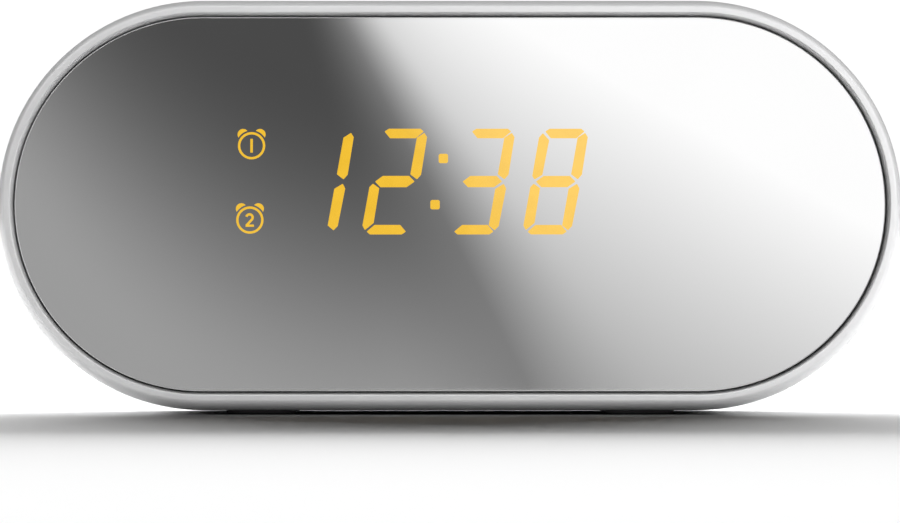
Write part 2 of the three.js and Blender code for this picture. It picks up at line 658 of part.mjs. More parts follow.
function square(x, z, side) {
  const half = side / 2;
  return [[x - half, z - half], [x + half, z - half], [x + half, z + half], [x - half, z + half]];
}

// A light guide: a plate behind the reflector with one pipe for each outline.
function lightGuide(name, outlines, [x0, x1, z0, z1]) {
  const plate = box(x0, x1, GUIDE_PLATE.y0, GUIDE_PLATE.y1, z0, z1);
  const pipes = outlines.map((outline) =>
    slabAlongY(polygon(inset(outline, PIPE_INSET)), REFLECTOR.y0 + 0.1, GUIDE_PLATE.y0 + 0.2),
  );
  add(name, unite([plate, ...pipes]), MATERIALS.amber);
}

function buildDisplay() {
  const placed = (x, outlines) => outlines.map((o) => slanted(o).map(([px, pz]) => [x + px, DIGIT_Z + pz]));
  const digits = DIGIT_X.map((x) => placed(x, segmentOutlines()));
  const dots = COLON_DOTS.map(([x, z]) => square(x, z, DOT_SIDE));
  const outlines = [...digits.flat(), ...dots];

  // The reflector: a black block with a well for every segment, and pegs at the back that hold the board.
  const { x0, x1, y0, y1, z0, z1 } = REFLECTOR;
  const boardBack = DISPLAY_BOARD_Y + BOARD_THICKNESS;
  const pegX = [x0 + STAKE.inset, x1 - STAKE.inset];
  const pegs = pegX.flatMap((x) => [[x, z0 + STAKE.inset], [x, z1 - STAKE.inset]]);
  const wells = outlines.map((outline) => slabAlongY(polygon(outline), y0 - 1, y1 + 1));
  const roundWells = ALARM_ICONS.map(([x, z]) => discAlongY(ICON_RADIUS + 0.2, y0 - 1, y1 + 1, x, z, 16));
  const block = cut(box(x0, x1, y0, y1, z0, z1), [...wells, ...roundWells]);
  const stakes = pegs.map(([x, z]) => discAlongY(STAKE.radius, y1 - 0.5, boardBack + 0.6, x, z, 10));
  add("display_reflector", unite([block, ...stakes]), MATERIALS.reflector);

  const names = ["hours_tens", "hours_units", "minutes_tens", "minutes_units"];
  const halfPlate = { x: 6.2, z: DIGIT.halfHeight + 1 };
  digits.forEach((segments, i) => {
    const x = DIGIT_X[i];
    const plate = [x - halfPlate.x, x + halfPlate.x, DIGIT_Z - halfPlate.z, DIGIT_Z + halfPlate.z];
    lightGuide(`${names[i]}_light_guide`, segments, plate);
  });
  lightGuide("colon_light_guide", dots, [-3.95, -0.2, COLON_DOTS[1][1] - 1.5, COLON_DOTS[0][1] + 1.5]);
  ALARM_ICONS.forEach(([x, z], i) => {
    const pipe = discAlongY(ICON_RADIUS - 0.1, y0 + 0.1, GUIDE_PLATE.y0 + 0.2, x, z, 16);
    const plate = discAlongY(ICON_RADIUS + 1, GUIDE_PLATE.y0, GUIDE_PLATE.y1, x, z, 16);
    add(`alarm_${i + 1}_light_guide`, pipe.add(plate), MATERIALS.amber);
  });

  // The board, with one LED behind every light pipe.
  const middle = (outline, axis) => outline.reduce((sum, point) => sum + point[axis], 0) / outline.length;
  const lamps = outlines.map((outline) => [middle(outline, 0), middle(outline, 1)]).concat(ALARM_ICONS);
  const [front, halfX, halfZ] = [DISPLAY_BOARD_Y - LED.height, LED.x / 2, LED.z / 2];
  const leds = lamps.map(([x, z]) => box(x - halfX, x + halfX, front, boardBack - 1, z - halfZ, z + halfZ));
  const hole = STAKE.radius + GAP;
  const holes = pegs.map(([x, z]) => discAlongY(hole, DISPLAY_BOARD_Y - 1, boardBack + 1, x, z, 10));
  const board = unite([box(x0 - 2, x1 + 2, DISPLAY_BOARD_Y, boardBack, z0 - 2, z1 + 2), ...leds]);
  add("display_board", cut(board, holes), MATERIALS.board);
}

// ---- Radio ----
function buildMainBoard() {
  const top = MAIN_BOARD_TOP + 0.1;
  const { x0, x1, y0, y1, pegX, pegY, peg } = MAIN_BOARD;
  const board = box(x0, x1, y0, y1, MAIN_BOARD_Z, MAIN_BOARD_TOP);
  const hole = (x, y) => discAlongZ(peg + GAP, MAIN_BOARD_Z - 1, MAIN_BOARD_TOP + 1, x, y);
  add("main_board", cut(board, pegX.flatMap((x) => pegY.map((y) => hole(x, y)))), MATERIALS.board);
  add("tuner_shield", slabAlongZ(roundedRectangle(20, 13, 0.6), top, top + 4.5, 18, 7, 0.3), MATERIALS.tin);
  add("clock_chip", box(-25, -11, 2, 9, top, top + 2.2), MATERIALS.chip);
  add("amplifier_chip", box(-30.5, -27, -2, 8, top, top + 2), MATERIALS.chip);
  [[-18, 14], [-26, 14]].forEach(([x, y], i) => {
    const [radius, high] = [3.1, top + 8.4];
    const profile = [[0, top], [radius, top], [radius, high - 0.4], [radius - 0.4, high], [0, high]];
    add(`filter_capacitor_${i + 1}`, turnedAlongZ(profile, x, y), MATERIALS.chip);
  });
}

function buildDcInlet() {
  const back = COVER_INSIDE_Y - GAP;
  const mouth = INLET.face - INLET.depth;
  const [halfX, halfZ] = [4.5, 4.6];
  let body = box(-halfX, halfX, INLET.y0, back, SOCKET_Z - halfZ, SOCKET_Z + halfZ);
  body = body.add(box(-halfX, halfX, INLET.y0, MAIN_BOARD.y1 - 0.5, MAIN_BOARD_TOP + 0.1, SOCKET_Z));
  body = body.add(discAlongY(INLET.collar, back - 1, INLET.face, 0, SOCKET_Z, 20));
  body = body.subtract(discAlongY(INLET.bore, mouth, BACK_Y + 1, 0, SOCKET_Z, 20));
  body = body.add(discAlongY(INLET.pin, mouth - 1, INLET.face - 1, 0, SOCKET_Z));
  add("dc_inlet", body, MATERIALS.blackPlastic);
}

function buildAntennaGland() {
  const { neck, flange, bore } = GLAND;
  const [inside, outside] = [COVER_INSIDE_Y - GAP, BACK_Y - 0.1];
  const profile = [
    [bore, inside - 1],
    [flange, inside - 1],
    [flange, inside],
    [neck, inside],
    [neck, outside - 0.5],
    [neck - 0.5, outside],
    [bore, outside],
    [bore, inside - 1],
  ];
  add("antenna_gland", turnedAlongY(profile, GLAND_X, SOCKET_Z, 18), MATERIALS.rubber);
}

// The flat cable from the display board down to the main board, as a bent strip extruded along X.
function buildRibbon() {
  const route = new THREE.CubicBezierCurve(
    new THREE.Vector2(DISPLAY_BOARD_Y + BOARD_THICKNESS + 0.5, REFLECTOR.z0 + 3),
    new THREE.Vector2(DISPLAY_BOARD_Y + BOARD_THICKNESS + 0.6, 14),
    new THREE.Vector2(-8.5, 10),
    new THREE.Vector2(-4, MAIN_BOARD_TOP + 0.6),
  );
  const steps = 10;
  const half = 0.2;
  const outline = [];
  for (const side of [1, -1]) {
    for (let i = 0; i <= steps; i++) {
      const t = side > 0 ? i / steps : 1 - i / steps;
      const [p, d] = [route.getPoint(t), route.getTangent(t)];
      outline.push(new THREE.Vector2(p.x - side * half * d.y, p.y + side * half * d.x));
    }
  }
  const width = 14;
  const strip = new THREE.ExtrudeGeometry(new THREE.Shape(outline), { depth: width, bevelEnabled: false });
  // The shape's X is the part's Y and its Y is the part's Z, so the extrusion runs along the part's X.
  const [alongX, alongY, alongZ] = [0, 1, 2].map((axis) => new THREE.Vector3().setComponent(axis, 1));
  const turn = new THREE.Matrix4().makeBasis(alongY, alongZ, alongX);
  add("display_ribbon", solid(strip.applyMatrix4(turn).translate(-width / 2, 0, 0)), MATERIALS.tin);
}

// ---- Loudspeaker, facing the grille ----
function buildSpeaker() {
  const rim = COVER_INSIDE_Y - 0.4;
  const basket = [
    [SPEAKER_RADIUS, rim],
    [21.9, rim],
    [21.9, rim - 5.1],
    [14.8, rim - 10.6],
    [6, rim - 10.6],
    [6, rim - 11.8],
    [15.3, rim - 11.8],
    [22.9, rim - 5.6],
    [22.9, rim - 1.2],
    [SPEAKER_RADIUS, rim - 1.2],
    [SPEAKER_RADIUS, rim],
  ];
  add("speaker_basket", turnedAlongY(basket, SPEAKER_X, AXIS_Z, 24), MATERIALS.magnet);
  const [back, front, r] = [2, rim - 12.1, 14];
  const edge = 0.8;
  const magnet = [
    [0, back],
    [r - edge, back],
    [r, back + edge],
    [r, front - edge],
    [r - edge, front],
    [0, front],
  ];
  add("speaker_magnet", turnedAlongY(magnet, SPEAKER_X, AXIS_Z, 24), MATERIALS.magnet);
  const cone = [
    [0, rim - 7.4],
    [5, rim - 8.4],
    [6.4, rim - 8.9],
    [19.4, rim - 2.9],
    [20.4, rim - 2.2],
    [21.4, rim - 2.8],
    [21.4, rim - 2.2],
    [20.4, rim - 1.4],
    [19.2, rim - 2.2],
    [6.3, rim - 8.1],
    [4.6, rim - 6.9],
    [0, rim - 5.9],
  ];
  add("speaker_cone", turnedAlongY(cone, SPEAKER_X, AXIS_Z, 24), MATERIALS.cone);
}

buildFrontBezel();
buildMirror();
buildMainShell();
buildFeet();
buildRearCover();
buildCoverScrews();
buildBatteryBay();
buildBatteryDoor();
const plan = buttonPlan();
buildDeck(plan);
buildButtons(plan);
buildDisplay();
buildMainBoard();
buildDcInlet();
buildAntennaGland();
buildRibbon();
buildSpeaker();

export default assembly;
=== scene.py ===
"""A mirror-fronted clock radio, built round its CAD frame.

Shapes are worked out in millimetres and stored in metres. +X is right, +Y runs from the front to the back,
and +Z is up.
"""
import math

import bmesh
import bpy
from mathutils import Matrix, Vector


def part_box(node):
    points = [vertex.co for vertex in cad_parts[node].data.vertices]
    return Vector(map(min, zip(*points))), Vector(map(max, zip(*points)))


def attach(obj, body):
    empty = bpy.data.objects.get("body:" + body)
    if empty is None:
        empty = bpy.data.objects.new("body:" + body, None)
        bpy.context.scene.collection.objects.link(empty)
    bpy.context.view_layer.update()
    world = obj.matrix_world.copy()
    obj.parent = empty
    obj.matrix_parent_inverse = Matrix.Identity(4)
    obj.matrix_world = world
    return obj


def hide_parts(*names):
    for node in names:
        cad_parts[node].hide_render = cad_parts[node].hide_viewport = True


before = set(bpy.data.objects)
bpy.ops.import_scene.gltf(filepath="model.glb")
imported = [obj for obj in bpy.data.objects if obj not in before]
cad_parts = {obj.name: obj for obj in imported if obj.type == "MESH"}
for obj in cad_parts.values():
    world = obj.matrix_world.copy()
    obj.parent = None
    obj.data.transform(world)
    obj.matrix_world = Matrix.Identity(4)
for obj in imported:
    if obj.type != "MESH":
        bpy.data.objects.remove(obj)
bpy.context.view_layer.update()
MM = 0.001
GAP = 0.3  # the CAD's clearance between pieces


def cad(node):
    """The lowest and highest corners of a CAD node, in millimetres."""
    low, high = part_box(node)
    return low / MM, high / MM


def middle_of(node):
    """The middle of a CAD node's box, in millimetres."""
    low, high = cad(node)
    return (low + high) / 2


# ---- Sizes taken from the frame ----
bezel_low, bezel_high = cad("front_bezel")
shell_low, shell_high = cad("main_shell")
mirror_low, mirror_high = cad("mirror_panel")
deck_low, deck_high = cad("button_deck")

CASE_RADIUS = (bezel_high.z - bezel_low.z) / 2
AXIS_Z = (bezel_high.z + bezel_low.z) / 2
HALF_STRAIGHT = (bezel_high.x - bezel_low.x) / 2 - CASE_RADIUS
FRONT_Y = bezel_low.y
BACK_Y = cad("rear_cover")[1].y
TOP_Z = shell_high.z
FOOT_DROP = shell_low.z
WALL = 2.2
INNER_RADIUS = CASE_RADIUS - WALL
MIRROR_Y = mirror_low.y
MIRROR_RADIUS = (mirror_high.z - mirror_low.z) / 2 + GAP / 2  # closes up the gap round the mirror
MIRROR_THICKNESS = mirror_high.y - mirror_low.y


# ---- Mesh making ----
def quarter(steps):
    """The angles of a quarter turn, from 0 to 90 degrees."""
    return [math.pi / 2 * k / steps for k in range(steps + 1)]


def new_object(name, vertices, faces):
    """A mesh object from vertices in millimetres."""
    mesh = bpy.data.meshes.new(name)
    mesh.from_pydata([Vector(v) * MM for v in vertices], [], faces)
    edit = bmesh.new()
    edit.from_mesh(mesh)
    bmesh.ops.remove_doubles(edit, verts=edit.verts, dist=1e-7)
    bmesh.ops.recalc_face_normals(edit, faces=edit.faces)
    edit.to_mesh(mesh)
    edit.free()
    made = bpy.data.objects.new(name, mesh)
    bpy.context.scene.collection.objects.link(made)
    return made


def skin(name, rings, closed=False):
    """Joins rings of equal length by quads. An open run of rings is capped at both ends."""
    count = len(rings[0])
    vertices = [point for ring in rings for point in ring]
    faces = []
    last = len(rings) if closed else len(rings) - 1
    for k in range(last):
        a, b = k * count, (k + 1) % len(rings) * count
        for i in range(count):
            j = (i + 1) % count
            faces.append((a + i, a + j, b + j, b + i))
    if not closed:
        faces.append(tuple(range(count)))
        faces.append(tuple(range((len(rings) - 1) * count, len(rings) * count)))
    return new_object(name, vertices, faces)


def fillet(corners, closed=False, steps=5):
    """A path through corners given as (u, v, radius), with each corner rounded to its radius."""
    path = []
    count = len(corners)
    for i, (u, v, radius) in enumerate(corners):
        at = Vector((u, v))
        if radius == 0 or (not closed and i in (0, count - 1)):
            path.append((u, v))
            continue
        before = (Vector(corners[i - 1][:2]) - at).normalized()
        after = (Vector(corners[(i + 1) % count][:2]) - at).normalized()
        half = before.angle(after) / 2
        centre = at + (before + after).normalized() * (radius / math.sin(half))
        start = at + before * (radius / math.tan(half)) - centre
        end = at + after * (radius / math.tan(half)) - centre
        turn = math.atan2(start.x * end.y - start.y * end.x, start.dot(end))
        for k in range(steps + 1):
            angle = turn * k / steps
            c, s = math.cos(angle), math.sin(angle)
            path.append((centre.x + start.x * c - start.y * s, centre.y + start.x * s + start.y * c))
    return path


def stadium(radius):
    """The outline of the case at one radius, as points in X and Z."""
    points, steps = [], 64
    for side, first in ((1, -90), (-1, 90)):
        for k in range(steps + 1):
            angle = math.radians(first + 180 * k / steps)
            x = side * HALF_STRAIGHT + radius * math.cos(angle)
            points.append((x, AXIS_Z + radius * math.sin(angle)))
    return points


def stadium_skin(name, profile, closed=False):
    """A case part whose section is the stadium at each (radius, y) of its profile."""
    return skin(name, [[(x, y, z) for x, z in stadium(radius)] for radius, y in profile], closed)


def ellipse(u0, v0, du, dv, steps):
    """Points on a quarter ellipse: u0 + du sin(angle), v0 + dv (1 - cos(angle))."""
    return [(u0 + du * math.sin(a), v0 + dv * (1 - math.cos(a))) for a in quarter(steps)]


def rounded(width, height, radius, steps=6, middle=(0, 0)):
    """A rounded rectangle as a list of points."""
    half_w, half_h = width / 2, height / 2
    corners = [(-half_w, -half_h), (half_w, -half_h), (half_w, half_h), (-half_w, half_h)]
    path = fillet([(u, v, radius) for u, v in corners], closed=True, steps=steps)
    return [(u + middle[0], v + middle[1]) for u, v in path]


def slab_z(name, outline, levels):
    """Stacks an outline in X and Y. Each level is (z, inset), and its inset shrinks the outline."""
    centre_x = sum(p[0] for p in outline) / len(outline)
    centre_y = sum(p[1] for p in outline) / len(outline)
    half_x = max(p[0] for p in outline) - centre_x
    half_y = max(p[1] for p in outline) - centre_y
    rings = []
    for z, inset in levels:
        kx, ky = 1 - inset / half_x, 1 - inset / half_y
        ring = [(centre_x + (x - centre_x) * kx, centre_y + (y - centre_y) * ky, z) for x, y in outline]
        rings.append(ring)
    return skin(name, rings)


def slab_y(name, outline, y0, y1):
    """An outline in X and Z, made solid from y0 to y1."""
    return skin(name, [[(x, y, z) for x, z in outline] for y in (y0, y1)])


def block(name, low, high):
    """A plain box, used as a tool for cutting or as the start of a piece that is then rounded."""
    outline = [(low[0], low[1]), (high[0], low[1]), (high[0], high[1]), (low[0], high[1])]
    return slab_z(name, outline, [(low[2], 0), (high[2], 0)])


def turned(name, profile, centre, axis="Y", segments=64):
    """A turned body. The profile is (radius, place along the axis); a radius of 0 closes it on the axis."""
    closed = profile[0][0] > 0 and profile[-1][0] > 0
    rings = []
    for radius, along in profile:
        ring = []
        for k in range(segments):
            angle = 2 * math.pi * k / segments
            a, b = radius * math.cos(angle), radius * math.sin(angle)
            spot = {"X": (along, a, b), "Y": (a, along, b), "Z": (a, b, along)}[axis]
            ring.append([centre[i] + spot[i] for i in range(3)])
        rings.append(ring)
    return skin(name, rings, closed)


def rod(radius, start, end):
    """The profile of a plain rod."""
    return [(0, start), (radius, start), (radius, end), (0, end)]


def cylinder_y(name, radius, y0, y1, x, z):
    return turned(name, rod(radius, y0, y1), (x, 0, z), segments=48)


def combine(target, tools, operation):
    """Cuts the tools out of the target, or joins them to it, and removes them."""
    for tool in tools:
        change = target.modifiers.new("combine", "BOOLEAN")
        change.object = tool
        change.operation = operation
        change.solver = "EXACT"
        settle(target)
        bpy.data.objects.remove(tool)


def cut(target, *tools):
    combine(target, tools, "DIFFERENCE")


def join(target, *tools):
    combine(target, tools, "UNION")


def settle(target):
    """Applies a piece's modifiers to its mesh."""
    graph = bpy.context.evaluated_depsgraph_get()
    mesh = bpy.data.meshes.new_from_object(target.evaluated_get(graph))
    old = target.data
    target.modifiers.clear()
    target.data = mesh
    bpy.data.meshes.remove(old)
    mesh.name = target.name


def round_edges(target, width):
    """Rounds every edge sharper than 35 degrees."""
    edit = bmesh.new()
    edit.from_mesh(target.data)
    bmesh.ops.remove_doubles(edit, verts=edit.verts, dist=2e-6)
    bmesh.ops.dissolve_degenerate(edit, edges=edit.edges, dist=1e-6)
    bmesh.ops.dissolve_limit(edit, verts=edit.verts, edges=edit.edges, angle_limit=math.radians(0.5))
    edit.to_mesh(target.data)
    edit.free()
    soften = target.modifiers.new("edges", "BEVEL")
    soften.width = width * MM
    soften.segments = 3
    soften.limit_method = "ANGLE"
    soften.angle_limit = math.radians(35)
    settle(target)


def smooth(target, angle):
    """Smooth shading, with a break at every edge sharper than the angle."""
    edit = bmesh.new()
    edit.from_mesh(target.data)
    limit = math.radians(angle)
    for face in edit.faces:
        face.smooth = True
    for edge in edit.edges:
        edge.smooth = len(edge.link_faces) == 2 and edge.calc_face_angle(0) < limit
    edit.to_mesh(target.data)
    edit.free()
    even = target.modifiers.new("normals", "WEIGHTED_NORMAL")
    even.keep_sharp = True


def place(piece, node, material, body="root", stands_for=True, angle=32):
    """Gives a finished piece its shading, material and body. It may also stand for its CAD node."""
    smooth(piece, angle)
    piece.data.materials.clear()
    piece.data.materials.append(material)
    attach(piece, body)
    if stands_for:
        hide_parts(node)


# ---- Materials ----
def shader(name):
    made = bpy.data.materials.new(name)
    made.use_nodes = True
    tree = made.node_tree
    return made, tree, tree.nodes["Principled BSDF"]


def add_node(tree, kind, **values):
    node = tree.nodes.new("ShaderNode" + kind)
    for key, value in values.items():
        setattr(node, key, value)
    return node


def feed(tree, node, inputs):
    """Sets a node's inputs, or links them where the value is another node's output."""
    for name, value in inputs.items():
        if isinstance(value, bpy.types.NodeSocket):
            tree.links.new(value, node.inputs[name])
        else:
            node.inputs[name].default_value = value


def split(tree, kind):
    """The X, Y and Z of a kind of texture coordinate."""
    spot = add_node(tree, "TexCoord")
    parts = add_node(tree, "SeparateXYZ")
    feed(tree, parts, {"Vector": spot.outputs[kind]})
    return parts.outputs


def noise(tree, scale, detail=2.0, roughness=0.5):
    spot = add_node(tree, "TexCoord")
    texture = add_node(tree, "TexNoise")
    inputs = {"Vector": spot.outputs["Object"], "Scale": scale, "Detail": detail, "Roughness": roughness}
    feed(tree, texture, inputs)
    return texture.outputs["Fac"]


NOISE_RANGE = (0.3, 0.7)  # a noise texture seldom leaves it


def ramp(tree, source, low, high):
    """Maps a noise to the shades between two colours."""
    node = add_node(tree, "ValToRGB")
    for element, position, color in zip(node.color_ramp.elements, NOISE_RANGE, (low, high)):
        element.position = position
        element.color = (*color, 1)
    feed(tree, node, {"Fac": source})
    return node.outputs["Color"]


def toned(tree, source, color, tone):
    """Maps a noise to shades a little darker and lighter than a colour."""
    dark = [part * (1 - tone) for part in color]
    light = [min(1.0, part * (1 + tone)) for part in color]
    return ramp(tree, source, dark, light)


def spread(tree, source, low, high):
    """Maps a noise to a range of values."""
    node = add_node(tree, "MapRange")
    ends = {"From Min": NOISE_RANGE[0], "From Max": NOISE_RANGE[1], "To Min": low, "To Max": high}
    feed(tree, node, {"Value": source, **ends})
    return node.outputs["Result"]


def bump(tree, source, height):
    """A surface raised by a noise, up to a height in millimetres."""
    node = add_node(tree, "Bump")
    feed(tree, node, {"Height": source, "Distance": height * MM, "Strength": 1.0})
    return node.outputs["Normal"]


def moulded(name, color, roughness, tone, cloud=45, grain=2600, height=0.012, metallic=0.0, coat=0.0):
    """A moulded or cast surface: slow tone changes, a fine moulding texture and uneven gloss."""
    made, tree, surface = shader(name)
    slow = noise(tree, cloud)
    fine = noise(tree, grain, roughness=0.6)
    inputs = {
        "Base Color": toned(tree, slow, color, tone),
        "Roughness": spread(tree, fine, roughness - 0.05, roughness + 0.05),
        "Metallic": metallic,
        "Coat Weight": coat,
        "Coat Roughness": 0.15,
        "Normal": bump(tree, fine, height),
    }
    feed(tree, surface, inputs)
    return made


def brushed(name, color, roughness, stretch=(1, 1, 30)):
    """A drawn or plated metal with fine lines across one direction."""
    made, tree, surface = shader(name)
    spot = add_node(tree, "TexCoord")
    mapping = add_node(tree, "Mapping")
    texture = add_node(tree, "TexNoise")
    feed(tree, mapping, {"Vector": spot.outputs["Object"], "Scale": stretch})
    feed(tree, texture, {"Vector": mapping.outputs["Vector"], "Scale": 300})
    lines = texture.outputs["Fac"]
    inputs = {
        "Base Color": toned(tree, lines, color, 0.1),
        "Roughness": spread(tree, lines, roughness - 0.06, roughness + 0.06),
        "Metallic": 1.0,
        "Normal": bump(tree, lines, 0.004),
    }
    feed(tree, surface, inputs)
    return made


def mirror_finish():
    """A clean mirror with the faintest unevenness in its gloss."""
    made, tree, surface = shader("mirror_finish")
    slow = noise(tree, 30, 3.0)
    inputs = {
        "Base Color": ramp(tree, slow, (0.91,) * 3, (0.92,) * 3),
        "Roughness": spread(tree, slow, 0.018, 0.03),
        "Metallic": 1.0,
    }
    feed(tree, surface, inputs)
    return made


def lit_finish():
    """Lit amber segments behind the mirror's front face, which still reflects a little over them."""
    made, tree, surface = shader("lit_amber")
    slow = noise(tree, 260)
    inputs = {
        "Emission Color": ramp(tree, slow, (0.81, 0.475, 0.018), (0.86, 0.51, 0.024)),
        "Base Color": ramp(tree, slow, (0.05, 0.03, 0.004), (0.06, 0.035, 0.005)),
        "Emission Strength": 1.0,
        "Roughness": 0.05,
        "IOR": 2.3,
    }
    feed(tree, surface, inputs)
    return made


CASE_GREY = (0.82, 0.82, 0.825)
case_finish = moulded("case_silver", CASE_GREY, 0.34, tone=0.02, height=0.0015, metallic=0.45)
deck_finish = moulded("deck_grey", (0.33, 0.335, 0.345), 0.5, tone=0.05, height=0.02)
button_finish = moulded(
    "button_silver", (0.72, 0.722, 0.727), 0.32, tone=0.02, grain=900, height=0.0006, metallic=0.8, coat=0.2
)
rubber_finish = moulded("rubber_black", (0.022, 0.022, 0.023), 0.75, tone=0.25, height=0.03)
foam_finish = moulded("foam_black", (0.015, 0.015, 0.016), 0.95, tone=0.3, grain=4000, height=0.08)
black_finish = moulded("plastic_black", (0.02, 0.02, 0.022), 0.42, tone=0.15, height=0.012)
chip_finish = moulded("chip_black", (0.016, 0.016, 0.018), 0.55, tone=0.2, height=0.008)
amber_finish = moulded("acrylic_amber", (0.9, 0.42, 0.05), 0.3, tone=0.05, height=0.004)
board_finish = moulded(
    "board_green", (0.02, 0.13, 0.05), 0.35, tone=0.25, cloud=160, grain=900, height=0.02, coat=0.4
)
paper_finish = moulded(
    "cone_paper", (0.028, 0.028, 0.031), 0.85, tone=0.3, cloud=600, grain=3500, height=0.06
)
basket_finish = moulded("basket_zinc", (0.3, 0.31, 0.32), 0.4, tone=0.12, metallic=0.7)
film_finish = moulded("ribbon_film", (0.6, 0.6, 0.58), 0.4, tone=0.04)
mark_finish = moulded("printed_mark", (0.09, 0.092, 0.098), 0.5, tone=0.1)
jacket_finish = moulded("cell_jacket", (0.1, 0.13, 0.17), 0.3, tone=0.1, coat=0.5, metallic=0.3)
band_finish = moulded("cell_band", (0.62, 0.38, 0.16), 0.3, tone=0.08, coat=0.5, metallic=0.6)
steel_finish = brushed("steel_bright", (0.62, 0.63, 0.64), 0.28)
tin_finish = brushed("tin_plate", (0.6, 0.61, 0.62), 0.35, stretch=(30, 1, 1))
mirror_face = mirror_finish()
lit_amber = lit_finish()


# ---- Case ----
CROWN_OUTER = CASE_RADIUS - 2.24  # the rim is flat between these two radii
CROWN_INNER = 37.25
OPENING_RADIUS = MIRROR_RADIUS + GAP
FLARE_DEPTH = 10  # how far back the case takes to reach its full size
LEDGE_Y = MIRROR_Y + MIRROR_THICKNESS + 0.7  # the ledge that the mirror and its gasket rest on
LEDGE_BACK_Y = LEDGE_Y + 1.8
LEDGE_RADIUS = 33.2
TONGUE_OUTER = INNER_RADIUS - GAP
TONGUE_INNER = TONGUE_OUTER - 1.2
TONGUE_LENGTH = 2.3
SEAM_RADIUS = 0.35
BEZEL_BACK_Y = shell_low.y - GAP
SCREW_NAMES = ("lower_left", "lower_right", "upper_left", "upper_right")
SCREW_SPOTS = {name: middle_of("cover_screw_" + name) for name in SCREW_NAMES}
POST_RADIUS = 3.0
PILOT_RADIUS = 1.8


def build_bezel():
    flare = ellipse(CROWN_OUTER, FRONT_Y, CASE_RADIUS - CROWN_OUTER, FLARE_DEPTH, 20)
    seam = [
        (CASE_RADIUS, FRONT_Y + FLARE_DEPTH, 0),
        (CASE_RADIUS, BEZEL_BACK_Y, SEAM_RADIUS),
        (TONGUE_OUTER, BEZEL_BACK_Y, 0),
    ]
    inside = [
        (TONGUE_OUTER, BEZEL_BACK_Y + TONGUE_LENGTH),
        (TONGUE_INNER, BEZEL_BACK_Y + TONGUE_LENGTH),
        (TONGUE_INNER, LEDGE_BACK_Y),
        (LEDGE_RADIUS, LEDGE_BACK_Y),
        (LEDGE_RADIUS, LEDGE_Y),
        (OPENING_RADIUS, LEDGE_Y),
        (OPENING_RADIUS, MIRROR_Y),
    ]
    lip = [(OPENING_RADIUS, MIRROR_Y, 0), (CROWN_INNER, FRONT_Y, 0.22), (CROWN_OUTER, FRONT_Y, 0)]
    profile = flare + fillet(seam)[1:] + inside + fillet(lip)[1:-1]
    bezel = stadium_skin("bezel_skin", profile, closed=True)
    post_end, pilot_end = INSIDE_Y - GAP, 10
    for spot in SCREW_SPOTS.values():
        ear = cylinder_y("ear", POST_RADIUS + 2, LEDGE_Y, LEDGE_BACK_Y, spot.x, spot.z)
        post = cylinder_y("post", POST_RADIUS, LEDGE_Y + 0.2, post_end, spot.x, spot.z)
        pilot = cylinder_y("pilot", PILOT_RADIUS, pilot_end, BACK_Y, spot.x, spot.z)
        join(bezel, ear, post)
        cut(bezel, pilot)
    place(bezel, "front_bezel", case_finish)


def build_mirror():
    radius, front, back = MIRROR_RADIUS, MIRROR_Y, MIRROR_Y + MIRROR_THICKNESS
    corners = [(radius - 1, front, 0), (radius, front, 0.25), (radius, back, 0)]
    panel = stadium_skin("mirror_plate", fillet(corners, steps=3))
    place(panel, "mirror_panel", mirror_face, angle=10)
    panel.data.materials.append(black_finish)
    for face in panel.data.polygons:
        face.material_index = 0 if face.normal.y < -0.5 else 1
    low, high = cad("mirror_gasket")
    outer = OPENING_RADIUS - 0.05  # it shows as the dark floor of the gap round the mirror
    inner = LEDGE_RADIUS + 0.3
    ring = [(outer, low.y), (outer, high.y), (inner, high.y), (inner, low.y)]
    gasket = stadium_skin("gasket_ring", ring, closed=True)
    place(gasket, "mirror_gasket", foam_finish)


def build_shell():
    y0, y1 = shell_low.y, shell_high.y
    corners = [
        (CASE_RADIUS, y0, SEAM_RADIUS),
        (CASE_RADIUS, y1, SEAM_RADIUS),
        (INNER_RADIUS, y1, 0),
        (INNER_RADIUS, y0, 0),
    ]
    shell = stadium_skin("shell_skin", fillet(corners, closed=True), closed=True)
    opening_y = (PLATE_Y[0] - GAP, PLATE_Y[1] + GAP)
    middle = (0, sum(opening_y) / 2)
    outline = rounded(2 * (PLATE_X + GAP), opening_y[1] - opening_y[0], 0.7, middle=middle)
    cut(shell, slab_z("opening", outline, [(TOP_Z - WALL - 1, 0), (TOP_Z + 1, 0)]))
    for name in FOOT_NAMES:
        pocket = foot_outline(name, GAP)
        cut(shell, slab_z("pocket", pocket, [(FOOT_DROP - 1, 0), (cad(name)[1].z + GAP, 0)]))
    vent_pitch, vent_y = 9, -0.7
    for i in range(-2, 3):
        slot = rounded(6, 2.6, 1.25, middle=(i * vent_pitch, vent_y))
        cut(shell, slab_z("vent", slot, [(FOOT_DROP - 1, 0), (FOOT_DROP + WALL + 1, 0)]))
    base, board = FOOT_DROP + 1.5, cad("main_board")[0].z
    shoulder = board - 0.1
    stand = [(0, base), (2, base), (2, shoulder), (1, shoulder), (1, board + 2.4), (0, board + 2.6)]
    for x in (-31.5, 32):
        for y in (-6, 11):
            join(shell, turned("stand", stand, (x, y, 0), "Z", 24))
    round_edges(shell, 0.2)
    place(shell, "main_shell", case_finish)


